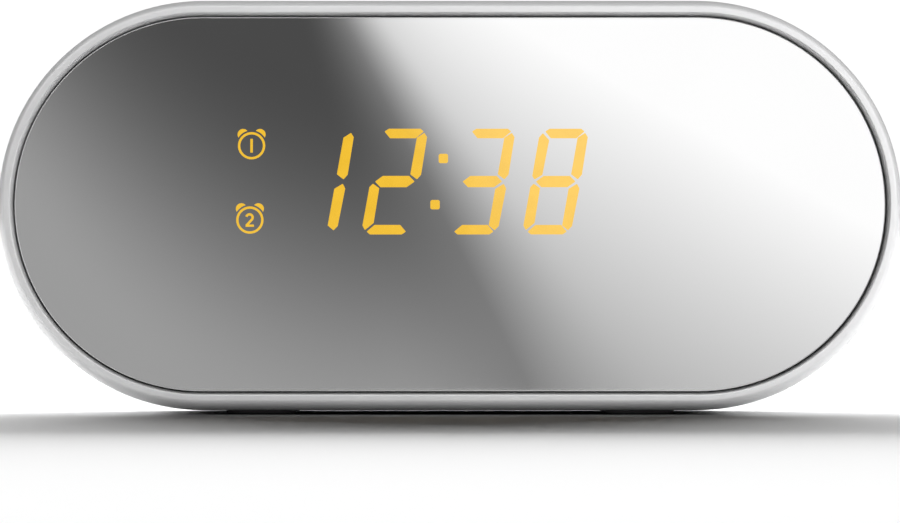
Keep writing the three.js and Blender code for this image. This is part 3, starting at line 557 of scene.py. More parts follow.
# ---- Rear cover ----
SPEAKER_X = middle_of("speaker_basket").x
door_low, door_high = cad("battery_door")
tray_low, tray_high = cad("battery_tray")
TRAY_WALL = 1.2
INSIDE_Y = BACK_Y - 3
COVER_FLAT_RADIUS = 35  # of the flat back, inside the rounded edge
COVER_ROUND_Y = 17.0  # where the rounded edge starts
COUNTERBORE_Y = 23.4
DOOR_PIN = {"radius": 0.5, "length": 1.0, "y": BACK_Y - 0.8, "z": door_low.z + 0.7}
DOOR_X = (door_low.x + DOOR_PIN["length"], door_high.x - DOOR_PIN["length"])
DOOR_INNER_Y = door_high.y - 1.4  # the inner face of its panel
BAY_X = sum(DOOR_X) / 2
inlet_low, inlet_high = cad("dc_inlet")
gland_low, gland_high = cad("antenna_gland")
SOCKET_Z = middle_of("antenna_gland").z
GLAND_X = middle_of("antenna_gland").x
GLAND_RADIUS = 2.4
COLLAR_RADIUS = 4.0  # of the inlet


def cover_round(radius, back, steps):
    """The rounded edge of the cover, from the full radius in to the flat back."""
    inset = CASE_RADIUS - COVER_FLAT_RADIUS
    return [(r, y) for y, r in ellipse(COVER_ROUND_Y, radius, back - COVER_ROUND_Y, -inset, steps)]


def build_cover():
    outer = cover_round(CASE_RADIUS, BACK_Y, 20)
    inner = cover_round(INNER_RADIUS, INSIDE_Y, 10)
    seam_y = shell_high.y + GAP
    tip = seam_y - TONGUE_LENGTH
    tongue = [(TONGUE_INNER, COVER_ROUND_Y), (TONGUE_INNER, tip), (TONGUE_OUTER, tip)]
    seam = [(TONGUE_OUTER, seam_y, 0), (CASE_RADIUS, seam_y, SEAM_RADIUS), (CASE_RADIUS, COVER_ROUND_Y, 0)]
    cover = stadium_skin("cover_skin", inner[::-1] + tongue + fillet(seam)[:-1] + outer)
    ring = [(25, INSIDE_Y - 4), (26.4, INSIDE_Y - 4), (26.4, INSIDE_Y + 0.5), (25, INSIDE_Y + 0.5)]
    join(cover, turned("collar", ring, (SPEAKER_X, 0, AXIS_Z)))

    pitch, half_slot, reach = 3.6, 0.75, 20.5
    for row in range(-5, 6):
        half = math.sqrt(reach**2 - (row * pitch) ** 2)
        middle = (SPEAKER_X, AXIS_Z + row * pitch)
        outline = rounded(2 * half, 2 * half_slot, half_slot - 0.01, middle=middle)
        cut(cover, slab_y("grille_slot", outline, INSIDE_Y - 1, BACK_Y + 1))

    floor = DOOR_INNER_Y - GAP
    low_z, high_z = door_low.z - GAP, door_high.z + GAP
    middle = (BAY_X, (low_z + high_z) / 2)
    recess = rounded(DOOR_X[1] - DOOR_X[0] + 2 * GAP, high_z - low_z, 1.3, middle=middle)
    bay_low = (tray_low.x + TRAY_WALL, INSIDE_Y - 1, tray_low.z + TRAY_WALL)
    bay_high = (tray_high.x - TRAY_WALL, BACK_Y + 1, tray_high.z - TRAY_WALL)
    notch_x = DOOR_X[1] - BAY_X + DOOR_PIN["length"] + 2 * GAP
    notch_top = DOOR_PIN["z"] + DOOR_PIN["radius"] + GAP
    cut(
        cover,
        slab_y("recess", recess, floor, BACK_Y + 1),
        block("bay", bay_low, bay_high),
        block("notch", (BAY_X - notch_x, floor, low_z), (BAY_X + notch_x, BACK_Y + 1, notch_top)),
        slab_y("finger_notch", rounded(14, 6, 2.9, middle=(BAY_X, high_z)), floor, BACK_Y + 1),
    )
    for spot in SCREW_SPOTS.values():
        cut(cover, cylinder_y("clear_hole", 1.95, INSIDE_Y - 1, BACK_Y + 1, spot.x, spot.z))
        cut(cover, cylinder_y("counterbore", 3.3, COUNTERBORE_Y, BACK_Y + 1, spot.x, spot.z))
    cut(cover, cylinder_y("inlet_hole", COLLAR_RADIUS + 0.4, INSIDE_Y - 1, BACK_Y + 1, 0, SOCKET_Z))
    cut(cover, cylinder_y("gland_hole", GLAND_RADIUS + GAP, INSIDE_Y - 1, BACK_Y + 1, GLAND_X, SOCKET_Z))
    round_edges(cover, 0.22)
    place(cover, "rear_cover", case_finish)


def build_screws():
    for name, spot in SCREW_SPOTS.items():
        low, high = cad("cover_screw_" + name)
        head, shank, thickness = 2.7, 1.45, 1.4
        seat = high.y - thickness
        corners = [
            (0, low.y, 0),
            (shank - 0.2, low.y + 2, 0),
            (shank, seat - 7, 0),
            (shank, seat, 0),
            (head, seat, 0.15),
            (head, high.y - 0.35, 0.5),
            (1.2, high.y, 0),
            (0, high.y, 0),
        ]
        screw = turned("screw_" + name, fillet(corners, steps=4), (spot.x, 0, spot.z))
        long, short, deep = 1.45, 0.34, 0.85
        for dx, dz in ((long, short), (short, long)):
            bottom = (spot.x - dx, high.y - deep, spot.z - dz)
            cut(screw, block("cross", bottom, (spot.x + dx, high.y + 1, spot.z + dz)))
        place(screw, "cover_screw_" + name, steel_finish)


# ---- Feet ----
FOOT_NAMES = [f"foot_{end}_{side}" for end in ("front", "rear") for side in ("left", "right")]


def foot_outline(name, clearance=0, steps=6):
    low, high = cad(name)
    width, depth = high.x - low.x + 2 * clearance, high.y - low.y + 2 * clearance
    return rounded(width, depth, 3.9, steps, middle_of(name).xy)


def build_feet():
    edge = 0.5
    for name in FOOT_NAMES:
        low, high = cad(name)
        levels = [(low.z + edge * (1 - math.cos(a)), edge * (1 - math.sin(a))) for a in quarter(5)]
        pad = slab_z("pad_" + name, foot_outline(name, steps=12), levels + [(high.z, 0)])
        place(pad, name, rubber_finish)


# ---- Top deck and buttons ----
PLATE_X = 47.0
PLATE_Y = (deck_low.y + 1.2, deck_high.y - 1.2)
LIP = 0.8  # how far a button's lip stands out under the deck
LIP_THICKNESS = 1
FLANGE_TOP = TOP_Z - WALL - GAP
FLANGE_THICKNESS = 1.2


def button_size(name):
    """A button's middle, and the width and depth of its cap."""
    low, high = cad(name)
    return (low + high) / 2, high.x - low.x - 2 * LIP, high.y - low.y - 2 * LIP


def button_corner(name):
    return 4.0 if name == "snooze_bar" else 2.2


def build_deck():
    middle = (0, sum(PLATE_Y) / 2)
    plate = rounded(2 * PLATE_X, PLATE_Y[1] - PLATE_Y[0], 0.5, middle=middle)
    flange = rounded(deck_high.x - deck_low.x, deck_high.y - deck_low.y, 0.5, middle=middle)
    deck = slab_z("deck_plate", flange, [(FLANGE_TOP - FLANGE_THICKNESS, 0), (FLANGE_TOP, 0)])
    join(deck, slab_z("raised_plate", plate, [(FLANGE_TOP - 0.3, 0), (TOP_Z, 0)]))
    for name in MARKS:
        centre, width, depth = button_size(name)
        corner = button_corner(name) + GAP
        hole = rounded(width + 2 * GAP, depth + 2 * GAP, corner, 10, (centre.x, centre.y))
        cut(deck, slab_z("button_hole", hole, [(FLANGE_TOP - 3, 0), (TOP_Z + 1, 0)]))
    board_low, board_high = cad("button_board")
    top, bottom, width = FLANGE_TOP - 1, deck_low.z, 3
    for side in (-1, 1):
        ends = sorted((side * deck_high.x, side * (deck_high.x - 1.6)))
        tips = sorted((side * deck_high.x, side * (deck_high.x - 3)))
        for y in (PLATE_Y[0] + 1, PLATE_Y[1] - 1 - width):
            leg = block("clip_leg", (ends[0], y, bottom), (ends[1], y + width, top))
            hook = block("clip_hook", (tips[0], y, bottom), (tips[1], y + width, board_low.z - GAP))
            stop = block("clip_stop", (tips[0], y, board_high.z + GAP), (tips[1], y + width, top))
            join(deck, leg, hook, stop)
    round_edges(deck, 0.2)
    place(deck, "button_deck", deck_finish)


def build_button(name):
    body = name + "_body"
    low, high = cad(name)
    centre, width, depth = button_size(name)
    corner = button_corner(name)
    lip_top = FLANGE_TOP - FLANGE_THICKNESS - GAP
    lip_bottom = lip_top - LIP_THICKNESS
    lip = rounded(width + 2 * LIP, depth + 2 * LIP, corner + LIP, 10, (centre.x, centre.y))
    cap = rounded(width, depth, corner, 12, (centre.x, centre.y))
    edge = 0.6
    crown = [(high.z - edge + edge * math.sin(a), edge * (1 - math.cos(a))) for a in quarter(8)]
    stem = [(0, low.z), (1.6, low.z), (1.8, low.z + 0.2), (1.8, lip_top), (0, lip_top)]
    piece = slab_z(name + "_cap", cap, [(lip_bottom, 0)] + crown)
    join(piece, slab_z("lip", lip, [(lip_bottom, 0), (lip_top, 0)]))
    join(piece, turned("stem", stem, (centre.x, centre.y, 0), "Z", 32))
    place(piece, name, button_finish, body)
    for i, outline in enumerate(MARKS[name]):
        placed = [(centre.x + u, centre.y + v) for u, v in outline]
        mark = slab_z(f"{name}_mark_{i + 1}", placed, [(high.z - SUNK, 0), (high.z + PROUD, 0)])
        place(mark, name, mark_finish, body, stands_for=False)


# ---- Printed marks and pictograms, as outlines about their own middle ----
def arc(radius, start, end, steps=24, middle=(0, 0)):
    angles = [math.radians(start + (end - start) * k / steps) for k in range(steps + 1)]
    return [(middle[0] + radius * math.cos(a), middle[1] + radius * math.sin(a)) for a in angles]


def stroke(path, width):
    """The outline of a pen stroke along a path."""
    left, right = [], []
    for i, point in enumerate(path):
        before, after = Vector(path[max(i - 1, 0)]), Vector(path[min(i + 1, len(path) - 1)])
        way = (after - before).normalized() * width / 2
        left.append((point[0] - way.y, point[1] + way.x))
        right.append((point[0] + way.y, point[1] - way.x))
    return left + right[::-1]


def ring_halves(outer, inner):
    """A ring drawn as two halves, left and right."""
    return [arc(outer, start, start + 180) + arc(inner, start + 180, start) for start in (90, 270)]


def bell(side, scale):
    """One of an alarm clock's two bells: a disc with the clock's own circle taken out of it."""
    middle, radius, clear = (side * 1.65 * scale, 2.2 * scale), 1.09 * scale, 3.02 * scale
    far = math.hypot(*middle)
    along = (far**2 + clear**2 - radius**2) / (2 * far)
    half_inner = math.degrees(math.acos(along / clear))
    half_outer = math.degrees(math.acos((along - far) / radius))
    turn = math.degrees(math.atan2(middle[1], middle[0]))
    outside = arc(radius, turn - half_outer, turn + half_outer, 20, middle)
    return outside + arc(clear, turn + half_inner, turn - half_inner, 12)


def numeral_two(scale):
    hook = arc(0.62, 165, -35, 14, (-0.07, 0.5))
    path = hook + [(-0.1, -0.45), (-0.66, -1.06)]
    shape = [stroke(path, 0.46), stroke([(-0.83, -1.1), (0.8, -1.1)], 0.44)]
    return [[(u * scale, v * scale) for u, v in outline] for outline in shape]


def alarm_icon(number, scale=1.0):
    """A generic alarm clock: a ring, two bells and the alarm's number."""
    outlines = ring_halves(2.67 * scale, 2.21 * scale) + [bell(-1, scale), bell(1, scale)]
    if number == 1:
        return outlines + [rounded(0.5 * scale, 2.7 * scale, 0.08 * scale, 3)]
    return outlines + numeral_two(scale)


def triangle(way):
    return [(-0.9 * way, -1.15), (1.1 * way, 0), (-0.9 * way, 1.15)]


BUTTON_ICON_SCALE = 0.62
MARKS = {
    "snooze_bar": [rounded(12, 0.9, 0.44, 8)],
    "volume_down_button": [rounded(2.6, 0.5, 0.1, 3)],
    "volume_up_button": [
        rounded(2.6, 0.5, 0.1, 3),
        rounded(0.5, 1.05, 0.1, 3, (0, 0.775)),
        rounded(0.5, 1.05, 0.1, 3, (0, -0.775)),
    ],
    "alarm_1_button": alarm_icon(1, BUTTON_ICON_SCALE),
    "alarm_2_button": alarm_icon(2, BUTTON_ICON_SCALE),
    "tuning_down_button": [triangle(-1)],
    "tuning_up_button": [triangle(1)],
    "set_time_button": ring_halves(1.7, 1.35) + [
        stroke([(0, 0), (0, 1.05)], 0.3),
        stroke([(0.1, 0), (0.85, -0.45)], 0.3),
    ],
    "radio_power_button": [
        arc(1.5, 125, 415, 30) + arc(1.15, 415, 125, 30),
        rounded(0.36, 1.5, 0.08, 3, (0, 1.05)),
    ],
}


# ---- Lit display, on the mirror's face ----
SLANT = 0.178  # how far a figure leans, as a share of its height
LIT = {
    "hours_tens": "bc",
    "hours_units": "abdeg",
    "minutes_tens": "abcdg",
    "minutes_units": "abcdefg",
}
PROUD, SUNK = 0.03, 0.05  # of a mark or a lit segment, above and below the face that it lies on


def upside_down(outline):
    return [(x, -z) for x, z in outline[::-1]]


def segment_shapes():
    """The seven segments of an upright figure, with pointed ends and clipped outer corners."""
    top = [(-3.15, 10.35), (-3.9, 9.8), (-2.58, 8.48), (2.42, 8.48), (3.78, 9.8), (3.05, 10.35)]
    right = [(3.95, 9.55), (2.64, 8.6), (2.64, 1.42), (4.12, 0.42), (4.76, 1.35), (4.62, 8.7)]
    middle = [(-4.0, 0), (-2.75, -1.11), (2.35, -1.11), (3.75, 0), (2.45, 1.11), (-2.68, 1.11)]
    lower_left = [(-4.3, -9.5), (-2.82, -8.1), (-2.95, -1.3), (-4.35, -0.4), (-4.9, -1.1), (-4.92, -8.6)]
    return {
        "a": top,
        "b": right,
        "c": upside_down(right),
        "d": upside_down(top),
        "e": lower_left,
        "f": upside_down(lower_left),
        "g": middle,
    }


def on_mirror(name, outline, node):
    made = slab_y(name, outline, MIRROR_Y - PROUD, MIRROR_Y + SUNK)
    place(made, node, lit_amber, stands_for=False)


def soft_corners(outline):
    return fillet([(u, v, 0.14) for u, v in outline], closed=True, steps=3)


def build_display():
    shapes = segment_shapes()
    for digit, letters in LIT.items():
        node = digit + "_light_guide"
        middle = middle_of(node)
        for letter in letters:
            outline = soft_corners(shapes[letter])
            leaning = [(middle.x + u + SLANT * v, middle.z + v) for u, v in outline]
            on_mirror(f"{digit}_segment_{letter}", leaning, node)
    low, high = cad("colon_light_guide")
    side = 1.84
    for name, x, z in (("upper", high.x - 1.1, high.z - 1.5), ("lower", low.x + 1.03, low.z + 1.5)):
        on_mirror("colon_dot_" + name, rounded(side, side, 0.4, middle=(x, z)), "colon_light_guide")
    for number in (1, 2):
        node = f"alarm_{number}_light_guide"
        x, z = middle_of(node).x - 0.2, middle_of(node).z
        for i, outline in enumerate(alarm_icon(number)):
            on_mirror(f"alarm_{number}_icon_{i + 1}", [(x + u, z + v) for u, v in outline], node)


# ---- Sockets on the back ----
def build_inlet():
    low, high = inlet_low, inlet_high
    face, bore = high.y, 2.75
    floor, mouth, beyond = face - 9, bore + 0.45, face + 1
    bottom, top = SOCKET_Z - 4.6, SOCKET_Z + 4.6
    body = block("inlet_body", (low.x, low.y, bottom), (high.x, INSIDE_Y - GAP, top))
    join(body, block("inlet_base", (low.x, low.y, low.z), (high.x, 19, SOCKET_Z)))
    round_edges(body, 0.3)
    start = INSIDE_Y - 1
    collar = [(0, start, 0), (COLLAR_RADIUS, start, 0), (COLLAR_RADIUS, face, 0.3), (0, face, 0)]
    join(body, turned("inlet_collar", fillet(collar), (0, 0, SOCKET_Z)))
    hole = [(0, floor), (bore, floor), (bore, face - 0.4), (mouth, face + 0.05), (mouth, beyond), (0, beyond)]
    cut(body, turned("inlet_bore", hole, (0, 0, SOCKET_Z)))
    place(body, "dc_inlet", black_finish)
    root, tip = floor - 0.5, face - 1.2
    profile = fillet([(0, root, 0), (1.0, root, 0), (1.0, tip, 0.35), (0, tip, 0)])
    pin = turned("inlet_pin", profile, (0, 0, SOCKET_Z))
    place(pin, "dc_inlet", steel_finish, stands_for=False)


def build_gland():
    low, high = gland_low, gland_high
    bore, flange, flange_back = 0.9, 3.6, low.y + 1
    corners = [
        (bore, low.y, 0),
        (flange, low.y, 0.2),
        (flange, flange_back, 0.2),
        (GLAND_RADIUS, flange_back, 0),
        (GLAND_RADIUS, high.y, 0.5),
        (bore, high.y, 0.25),
    ]
    sleeve = turned("gland_sleeve", fillet(corners, closed=True), (GLAND_X, 0, SOCKET_Z))
    place(sleeve, "antenna_gland", rubber_finish)


# ---- Battery bay ----
def build_door():
    inner, pin = DOOR_INNER_Y, DOOR_PIN
    middle = (BAY_X, (pin["z"] + door_high.z) / 2)
    outline = rounded(DOOR_X[1] - DOOR_X[0], door_high.z - pin["z"], 1.0, middle=middle)
    door = slab_y("door_panel", outline, inner, door_high.y)
    pin_rod = rod(pin["radius"], DOOR_X[0] - pin["length"], DOOR_X[1] + pin["length"])
    pivot = (0, pin["y"], pin["z"])
    join(door, turned("barrel", rod(0.7, *DOOR_X), pivot, "X", 32))
    join(door, turned("hinge_pin", pin_rod, pivot, "X", 24))

    half_x, half_z, deep, wall = 24.6, 10.4, 1.3, 1.0
    low = (BAY_X - half_x, inner - deep, AXIS_Z - half_z)
    high = (BAY_X + half_x, inner + 0.2, AXIS_Z + half_z)
    join(door, block("rim", low, high))
    hollow_low = (low[0] + wall, low[1] - 1, low[2] + wall)
    cut(door, block("rim_hollow", hollow_low, (high[0] - wall, inner, high[2] - wall)))
    for x in (BAY_X - 12, BAY_X, BAY_X + 12):
        rib_low, rib_high = (x - 0.5, inner - 0.9, low[2] + 0.5), (x + 0.5, inner + 0.1, high[2] - 0.5)
        join(door, block("rib", rib_low, rib_high))
    join(door, block("latch", (BAY_X - 4, low[1], high[2] - 0.5), (BAY_X + 4, inner + 0.2, high[2] + 0.6)))
    groove_z, groove_pitch, groove_depth = door_high.z - 3, 1.2, 0.35
    for i in (-1, 0, 1):
        groove = rounded(10, 0.6, 0.29, middle=(BAY_X, groove_z + i * groove_pitch))
        cut(door, slab_y("grip_groove", groove, door_high.y - groove_depth, door_high.y + 1))
    round_edges(door, 0.15)
    place(door, "battery_door", case_finish, "battery_door_body")


def build_tray():
    wall = TRAY_WALL
    low, high = tray_low, tray_high
    tray = block("tray_shell", low, high)
    hollow_low = (low.x + wall, low.y + wall, low.z + wall)
    cut(tray, block("tray_hollow", hollow_low, (high.x - wall, high.y + 1, high.z - wall)))
    rib_top = cad("backup_cell_1")[0].y - 0.15
    for x in (BAY_X - 12, BAY_X + 12):
        for z in (AXIS_Z - 11, AXIS_Z - 0.4, AXIS_Z + 10.2):
            join(tray, block("cradle", (x - 0.6, low.y + 0.5, z), (x + 0.6, rib_top, z + 0.8)))
    round_edges(tray, 0.2)
    place(tray, "battery_tray", black_finish)
    plate = 0.3
    for end, x in (("left", low.x + wall + 0.02), ("right", high.x - wall - 0.02 - plate)):
        for row, z in (("lower", AXIS_Z - 5.6), ("upper", AXIS_Z + 5.6)):
            outline = rounded(8.6, 8.6, 1.2, middle=((low.y + high.y) / 2, z))
            faces = [[(x + dx, v, w) for v, w in outline] for dx in (0, plate)]
            contact = skin(f"contact_{row}_{end}", faces)
            place(contact, "battery_tray", steel_finish, stands_for=False)


def build_cells():
    for number in (1, 2):
        low, high = cad(f"backup_cell_{number}")
        centre = (0, (low.y + high.y) / 2, (low.z + high.z) / 2)
        radius = (high.z - low.z) / 2
        way = 1 if number == 1 else -1
        flat = low.x if way > 0 else high.x
        band_start, band_end, length = 33, 42.95, 44.5
        jacket = [(0, 0.05, 0), (radius, 0.05, 0.4), (radius, band_start, 0), (0, band_start, 0)]
        band = [
            (0, band_start + 0.02, 0),
            (radius, band_start + 0.02, 0),
            (radius, band_end - 0.35, 0),
            (radius - 0.35, band_end, 0),
            (0, band_end, 0),
        ]
        nub = [
            (0, band_end - 0.05, 0),
            (4.1, band_end - 0.05, 0),
            (4.1, 43.2, 0.1),
            (1.9, 43.55, 0),
            (1.9, length, 0.3),
            (0, length, 0),
        ]
        parts = [("jacket", jacket, jacket_finish), ("band", band, band_finish), ("cap", nub, steel_finish)]
        for part, corners, finish in parts:
            profile = [(r, flat + way * along) for r, along in fillet(corners)]
            made = turned(f"cell_{number}_{part}", profile, centre, "X")
            place(made, f"backup_cell_{number}", finish, stands_for=part == "jacket")


def build_springs():
    for number in (1, 2):
        node = f"cell_spring_{number}"
        low, high = cad(node)
        y, z = (low.y + high.y) / 2, (low.z + high.z) / 2
        outward = 1 if low.x > BAY_X else -1
        start, end = (low.x, high.x) if outward > 0 else (high.x, low.x)
        wire, coil, taper, turns, steps, sides = 0.35, 3.35, 1.2, 3.5, 126, 10
        rings = []
        for k in range(steps + 1):
            t = k / steps
            angle = 2 * math.pi * turns * t
            radius = coil - taper * (1 - t)
            along = start + outward * wire + (end - start - 2 * outward * wire) * t
            out = Vector((0, math.cos(angle), math.sin(angle)))
            middle = Vector((along, y, z)) + out * radius
            ring = []
            for i in range(sides):
                a = 2 * math.pi * i / sides
                ring.append(middle + out * (wire * math.cos(a)) + Vector((wire * math.sin(a), 0, 0)))
            rings.append(ring)
        place(skin(f"spring_{number}_coil", rings), node, steel_finish, angle=50)


# ---- Loudspeaker ----
def build_speaker():
    low, high = cad("speaker_basket")
    rim, outer = high.y, (high.z - low.z) / 2
    centre = (SPEAKER_X, 0, AXIS_Z)
    basket = [
        (outer, rim, 0.2),
        (21.9, rim, 0.3),
        (21.9, rim - 5.1, 0.5),
        (14.8, rim - 10.6, 0.8),
        (6, rim - 10.6, 0),
        (6, rim - 11.8, 0),
        (15.3, rim - 11.8, 0.8),
        (22.9, rim - 5.6, 0.5),
        (22.9, rim - 1.2, 0.2),
        (outer, rim - 1.2, 0.2),
    ]
    piece = turned("basket_shell", fillet(basket, closed=True), centre, segments=96)
    window_radius, window_reach = 4.2, 18.5
    for k in range(4):
        angle = math.radians(45 + 90 * k)
        x, z = SPEAKER_X + window_reach * math.cos(angle), AXIS_Z + window_reach * math.sin(angle)
        cut(piece, cylinder_y("window", window_radius, rim - 12, rim - 3, x, z))
    place(piece, "speaker_basket", basket_finish)

    low, high = cad("speaker_magnet")
    radius = (high.z - low.z) / 2
    waist, yoke_back, plate_front = radius - 0.5, low.y + 2.2, high.y - 1
    corners = [
        (0, low.y, 0),
        (radius, low.y, 0.8),
        (radius, yoke_back, 0.3),
        (waist, yoke_back, 0),
        (waist, plate_front, 0),
        (radius, plate_front, 0.2),
        (radius, high.y, 0.3),
        (0, high.y, 0),
    ]
    magnet = turned("magnet_stack", fillet(corners), centre, segments=96)
    place(magnet, "speaker_magnet", basket_finish)

    thick = 0.5
    dome = [(5.4 * math.sin(a), rim - 7.9 + 2.0 * math.cos(a)) for a in quarter(10)]
    cone_face = [(6.2, rim - 8.3), (10, rim - 6.4), (14.5, rim - 4.4), (18.6, rim - 2.9)]
    half_turn = [2 * a for a in quarter(10)]
    roll = [(19.9 - 1.1 * math.cos(a), rim - 2.9 + 1.2 * math.sin(a)) for a in half_turn]
    front = dome + cone_face + roll + [(21.5, rim - 2.9)]
    back = [(r, y - thick) for r, y in front[::-1]]
    cone = turned("cone_paper", front + back, centre, segments=96)
    place(cone, "speaker_cone", paper_finish)


# ---- Pieces that stay as the CAD made them ----
def finish_cad_nodes():
    finishes = {
        "display_reflector": black_finish,
        "display_board": board_finish,
        "button_board": board_finish,
        "main_board": board_finish,
        "display_ribbon": film_finish,
        "tuner_shield": tin_finish,
        "clock_chip": chip_finish,
        "amplifier_chip": chip_finish,
        "filter_capacitor_1": chip_finish,
        "filter_capacitor_2": chip_finish,
    }
    for name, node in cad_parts.items():
        finish = finishes.get(name)
        if name.endswith("_switch"):
            finish = chip_finish
        if name.endswith("_light_guide"):
            finish = amber_finish
        if finish is None:
            continue
        node.data.materials.clear()
        node.data.materials.append(finish)
        edges = node.modifiers.new("edges", "BEVEL")
        edges.width = 0.1 * MM
        edges.segments = 2
        edges.limit_method = "ANGLE"
        edges.angle_limit = math.radians(40)


# ---- Studio ----
CAMERA_DISTANCE = 500.0  # from the mirror's face
CAMERA_HEIGHT = 13.0
LENS = 102.5
TILT = 1.947  # degrees, looking slightly up
CARD_Y = -300.0
FLOOR_POWER = 885


def build_camera():
    data = bpy.data.cameras.new("camera")
    data.lens = LENS
    data.sensor_width = 36
    data.clip_start = 0.01
    camera = bpy.data.objects.new("camera", data)
    bpy.context.scene.collection.objects.link(camera)
    camera.location = Vector((0, MIRROR_Y - CAMERA_DISTANCE, CAMERA_HEIGHT)) * MM
    camera.rotation_euler = (math.radians(90 + TILT), 0, 0)
    bpy.context.scene.camera = camera


def build_floor():
    floor = block("floor", (-4000, -4000, -20), (4000, 4000, 0))
    made, tree, surface = shader("floor_white")
    shades = ramp(tree, noise(tree, 3), (0.88,) * 3, (0.9,) * 3)
    feed(tree, surface, {"Base Color": shades, "Roughness": 0.6, "Specular IOR Level": 0.0})
    floor.data.materials.append(made)
    return floor


def math_node(tree, operation, a, b):
    node = add_node(tree, "Math", operation=operation)
    feed(tree, node, {0: a, 1: b})
    return node.outputs["Value"]


def ease(tree, source, low=0.0, high=1.0):
    """Runs smoothly from low to high as the source goes from 0 to 1."""
    node = add_node(tree, "MapRange", interpolation_type="SMOOTHSTEP")
    feed(tree, node, {"Value": source, "To Min": low, "To Max": high})
    return node.outputs["Result"]


def first_bounce(tree):
    """1 until a ray has bounced off a dull surface, and then 0."""
    path = add_node(tree, "LightPath")
    return math_node(tree, "LESS_THAN", path.outputs["Diffuse Depth"], 0.5)


def build_card():
    """A large card in front of the clock, which only reflections see, in soft shades for the mirror."""
    reach = (CAMERA_DISTANCE + (MIRROR_Y - CARD_Y)) / CAMERA_DISTANCE
    half_x, low, high = 420.0, -13.0, 330.0
    corners = [(-half_x, 0, low), (half_x, 0, low), (half_x, 0, high), (-half_x, 0, high)]
    card = new_object("card", corners, [(0, 1, 2, 3)])
    card.scale = (reach,) * 3
    card.location = Vector((0, CARD_Y, CAMERA_HEIGHT - CAMERA_HEIGHT * reach)) * MM
    made, tree, surface = shader("card_shades")
    tree.nodes.remove(surface)

    def number(operation, a, b):
        return math_node(tree, operation, a, b)

    spot = split(tree, "Object")
    x = number("DIVIDE", spot["X"], MM)
    z = number("SUBTRACT", number("DIVIDE", spot["Z"], MM), AXIS_Z)

    # The dark side gets lighter towards the bottom and the ends.
    across = number("ADD", x, 9.3)
    bow = number("MULTIPLY", number("MULTIPLY", across, across), 0.00012)
    fall = number("SUBTRACT", bow, number("MULTIPLY", z, 0.0136))
    dark = ease(tree, number("ADD", fall, 0.3), 0.294, 0.607)

    # A slanting edge parts the two sides, and it is softer lower down.
    edge = number("ADD", number("ADD", x, 2.7), number("MULTIPLY", z, 0.504))
    width = number("MAXIMUM", number("SUBTRACT", 35.2, number("MULTIPLY", z, 0.5)), 1.5)
    share = ease(tree, number("ADD", number("DIVIDE", edge, width), 0.5))

    # The light side fades towards its lower left, and more so close to the edge.
    light = number("ADD", number("MULTIPLY", x, 0.00294), number("MULTIPLY", z, 0.0052))
    light = number("MINIMUM", number("ADD", light, 0.781), 1.0)
    near = number("POWER", math.e, number("DIVIDE", number("MAXIMUM", edge, 0.0), -7.5))
    light = number("SUBTRACT", light, number("MULTIPLY", near, 0.24))
    mixed = number("ADD", dark, number("MULTIPLY", number("SUBTRACT", light, dark), share))

    # Above what the mirror shows, a bright strip lights the top of the rim.
    above = ease(tree, number("DIVIDE", number("SUBTRACT", z, 37.5), 4.0))
    mixed = number("ADD", mixed, number("MULTIPLY", number("SUBTRACT", 1.0, mixed), above))
    strength = number("MULTIPLY", number("POWER", mixed, 2.2), 1.08)
    glow = add_node(tree, "Emission")
    feed(tree, glow, {"Strength": number("MULTIPLY", strength, first_bounce(tree))})
    feed(tree, tree.nodes["Material Output"], {"Surface": glow.outputs[0]})
    card.data.materials.append(made)
    card.visible_camera = False
    card.visible_diffuse = False
    card.visible_shadow = False
    card.visible_transmission = False


def build_light(name, size, power, location, target):
    data = bpy.data.lights.new(name, "AREA")
    data.shape = "RECTANGLE"
    data.size, data.size_y = size
    data.energy = power
    light = bpy.data.objects.new(name, data)
    bpy.context.scene.collection.objects.link(light)
    light.location = location
    light.rotation_euler = (Vector(target) - Vector(location)).to_track_quat("-Z", "Y").to_euler()
    return light


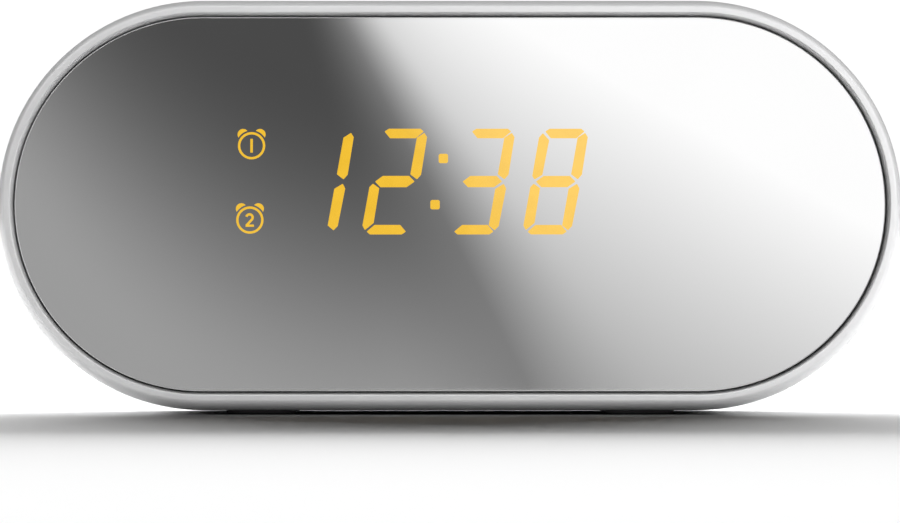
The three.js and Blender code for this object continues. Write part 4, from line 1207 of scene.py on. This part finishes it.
def build_world():
    """White behind the clock, a soft room for its reflections and very little fill for the shadows."""
    world = bpy.data.worlds.new("studio")
    bpy.context.scene.world = world
    world.use_nodes = True
    tree = world.node_tree
    white = (1, 1, 1, 1)
    path = add_node(tree, "LightPath")
    room = ease(tree, split(tree, "Generated")["Z"], 0.4, 0.85)
    direct = math_node(tree, "MULTIPLY", path.outputs["Is Glossy Ray"], first_bounce(tree))
    shade = tree.nodes["Background"]
    feed(tree, shade, {"Color": white, "Strength": 0.045})
    for ray, strength in ((direct, room), (path.outputs["Is Camera Ray"], 1.05)):
        glow = add_node(tree, "Background")
        feed(tree, glow, {"Color": white, "Strength": strength})
        mix = add_node(tree, "MixShader")
        feed(tree, mix, {0: ray, 1: shade.outputs[0], 2: glow.outputs[0]})
        shade = mix
    feed(tree, tree.nodes["World Output"], {"Surface": shade.outputs[0]})


def build_floor_light(floor):
    """A wide soft light high up behind the clock, far enough away to light the whole floor alike."""
    distance, middle, half_span = 4.0, math.radians(27), math.radians(13)
    location = (0, distance * math.cos(middle), distance * math.sin(middle))
    size = (11.0, 2 * distance * math.tan(half_span))
    light = build_light("floor_light", size, FLOOR_POWER, location, (0, 0, 0))
    link_light(light, [floor])


def build_clock_lights():
    """Soft lights for the clock alone, kept off the floor so that its shadow stays clear."""
    clock = [piece for piece in bpy.context.scene.objects if piece.type == "MESH"]
    front = build_light("front_light", (0.25, 0.2), 1.7, (0.33, -0.38, 0.05), (0, 0, 0.04))
    back = build_light("back_light", (1.0, 0.8), 1.5, (-0.5, 1.2, 0.9), (0, 0, 0.04))
    low = build_light("low_light", (0.16, 0.004), 0.05, (0, -0.12, 0.004), (0, -0.025, 0.003))
    for light in (front, back, low):
        link_light(light, clock)


def link_light(light, pieces):
    group = bpy.data.collections.new(light.name + "_pieces")
    for piece in pieces:
        group.objects.link(piece)
    light.light_linking.receiver_collection = group
    light.visible_glossy = False
    light.visible_camera = False


def build_studio():
    build_clock_lights()
    floor = build_floor()
    build_card()
    build_world()
    build_floor_light(floor)
    bpy.context.scene.view_settings.view_transform = "Standard"


build_camera()
build_bezel()
build_mirror()
build_shell()
build_cover()
build_screws()
build_feet()
build_deck()
for button in MARKS:
    build_button(button)
build_display()
build_inlet()
build_gland()
build_door()
build_tray()
build_cells()
build_springs()
build_speaker()
finish_cad_nodes()
build_studio()
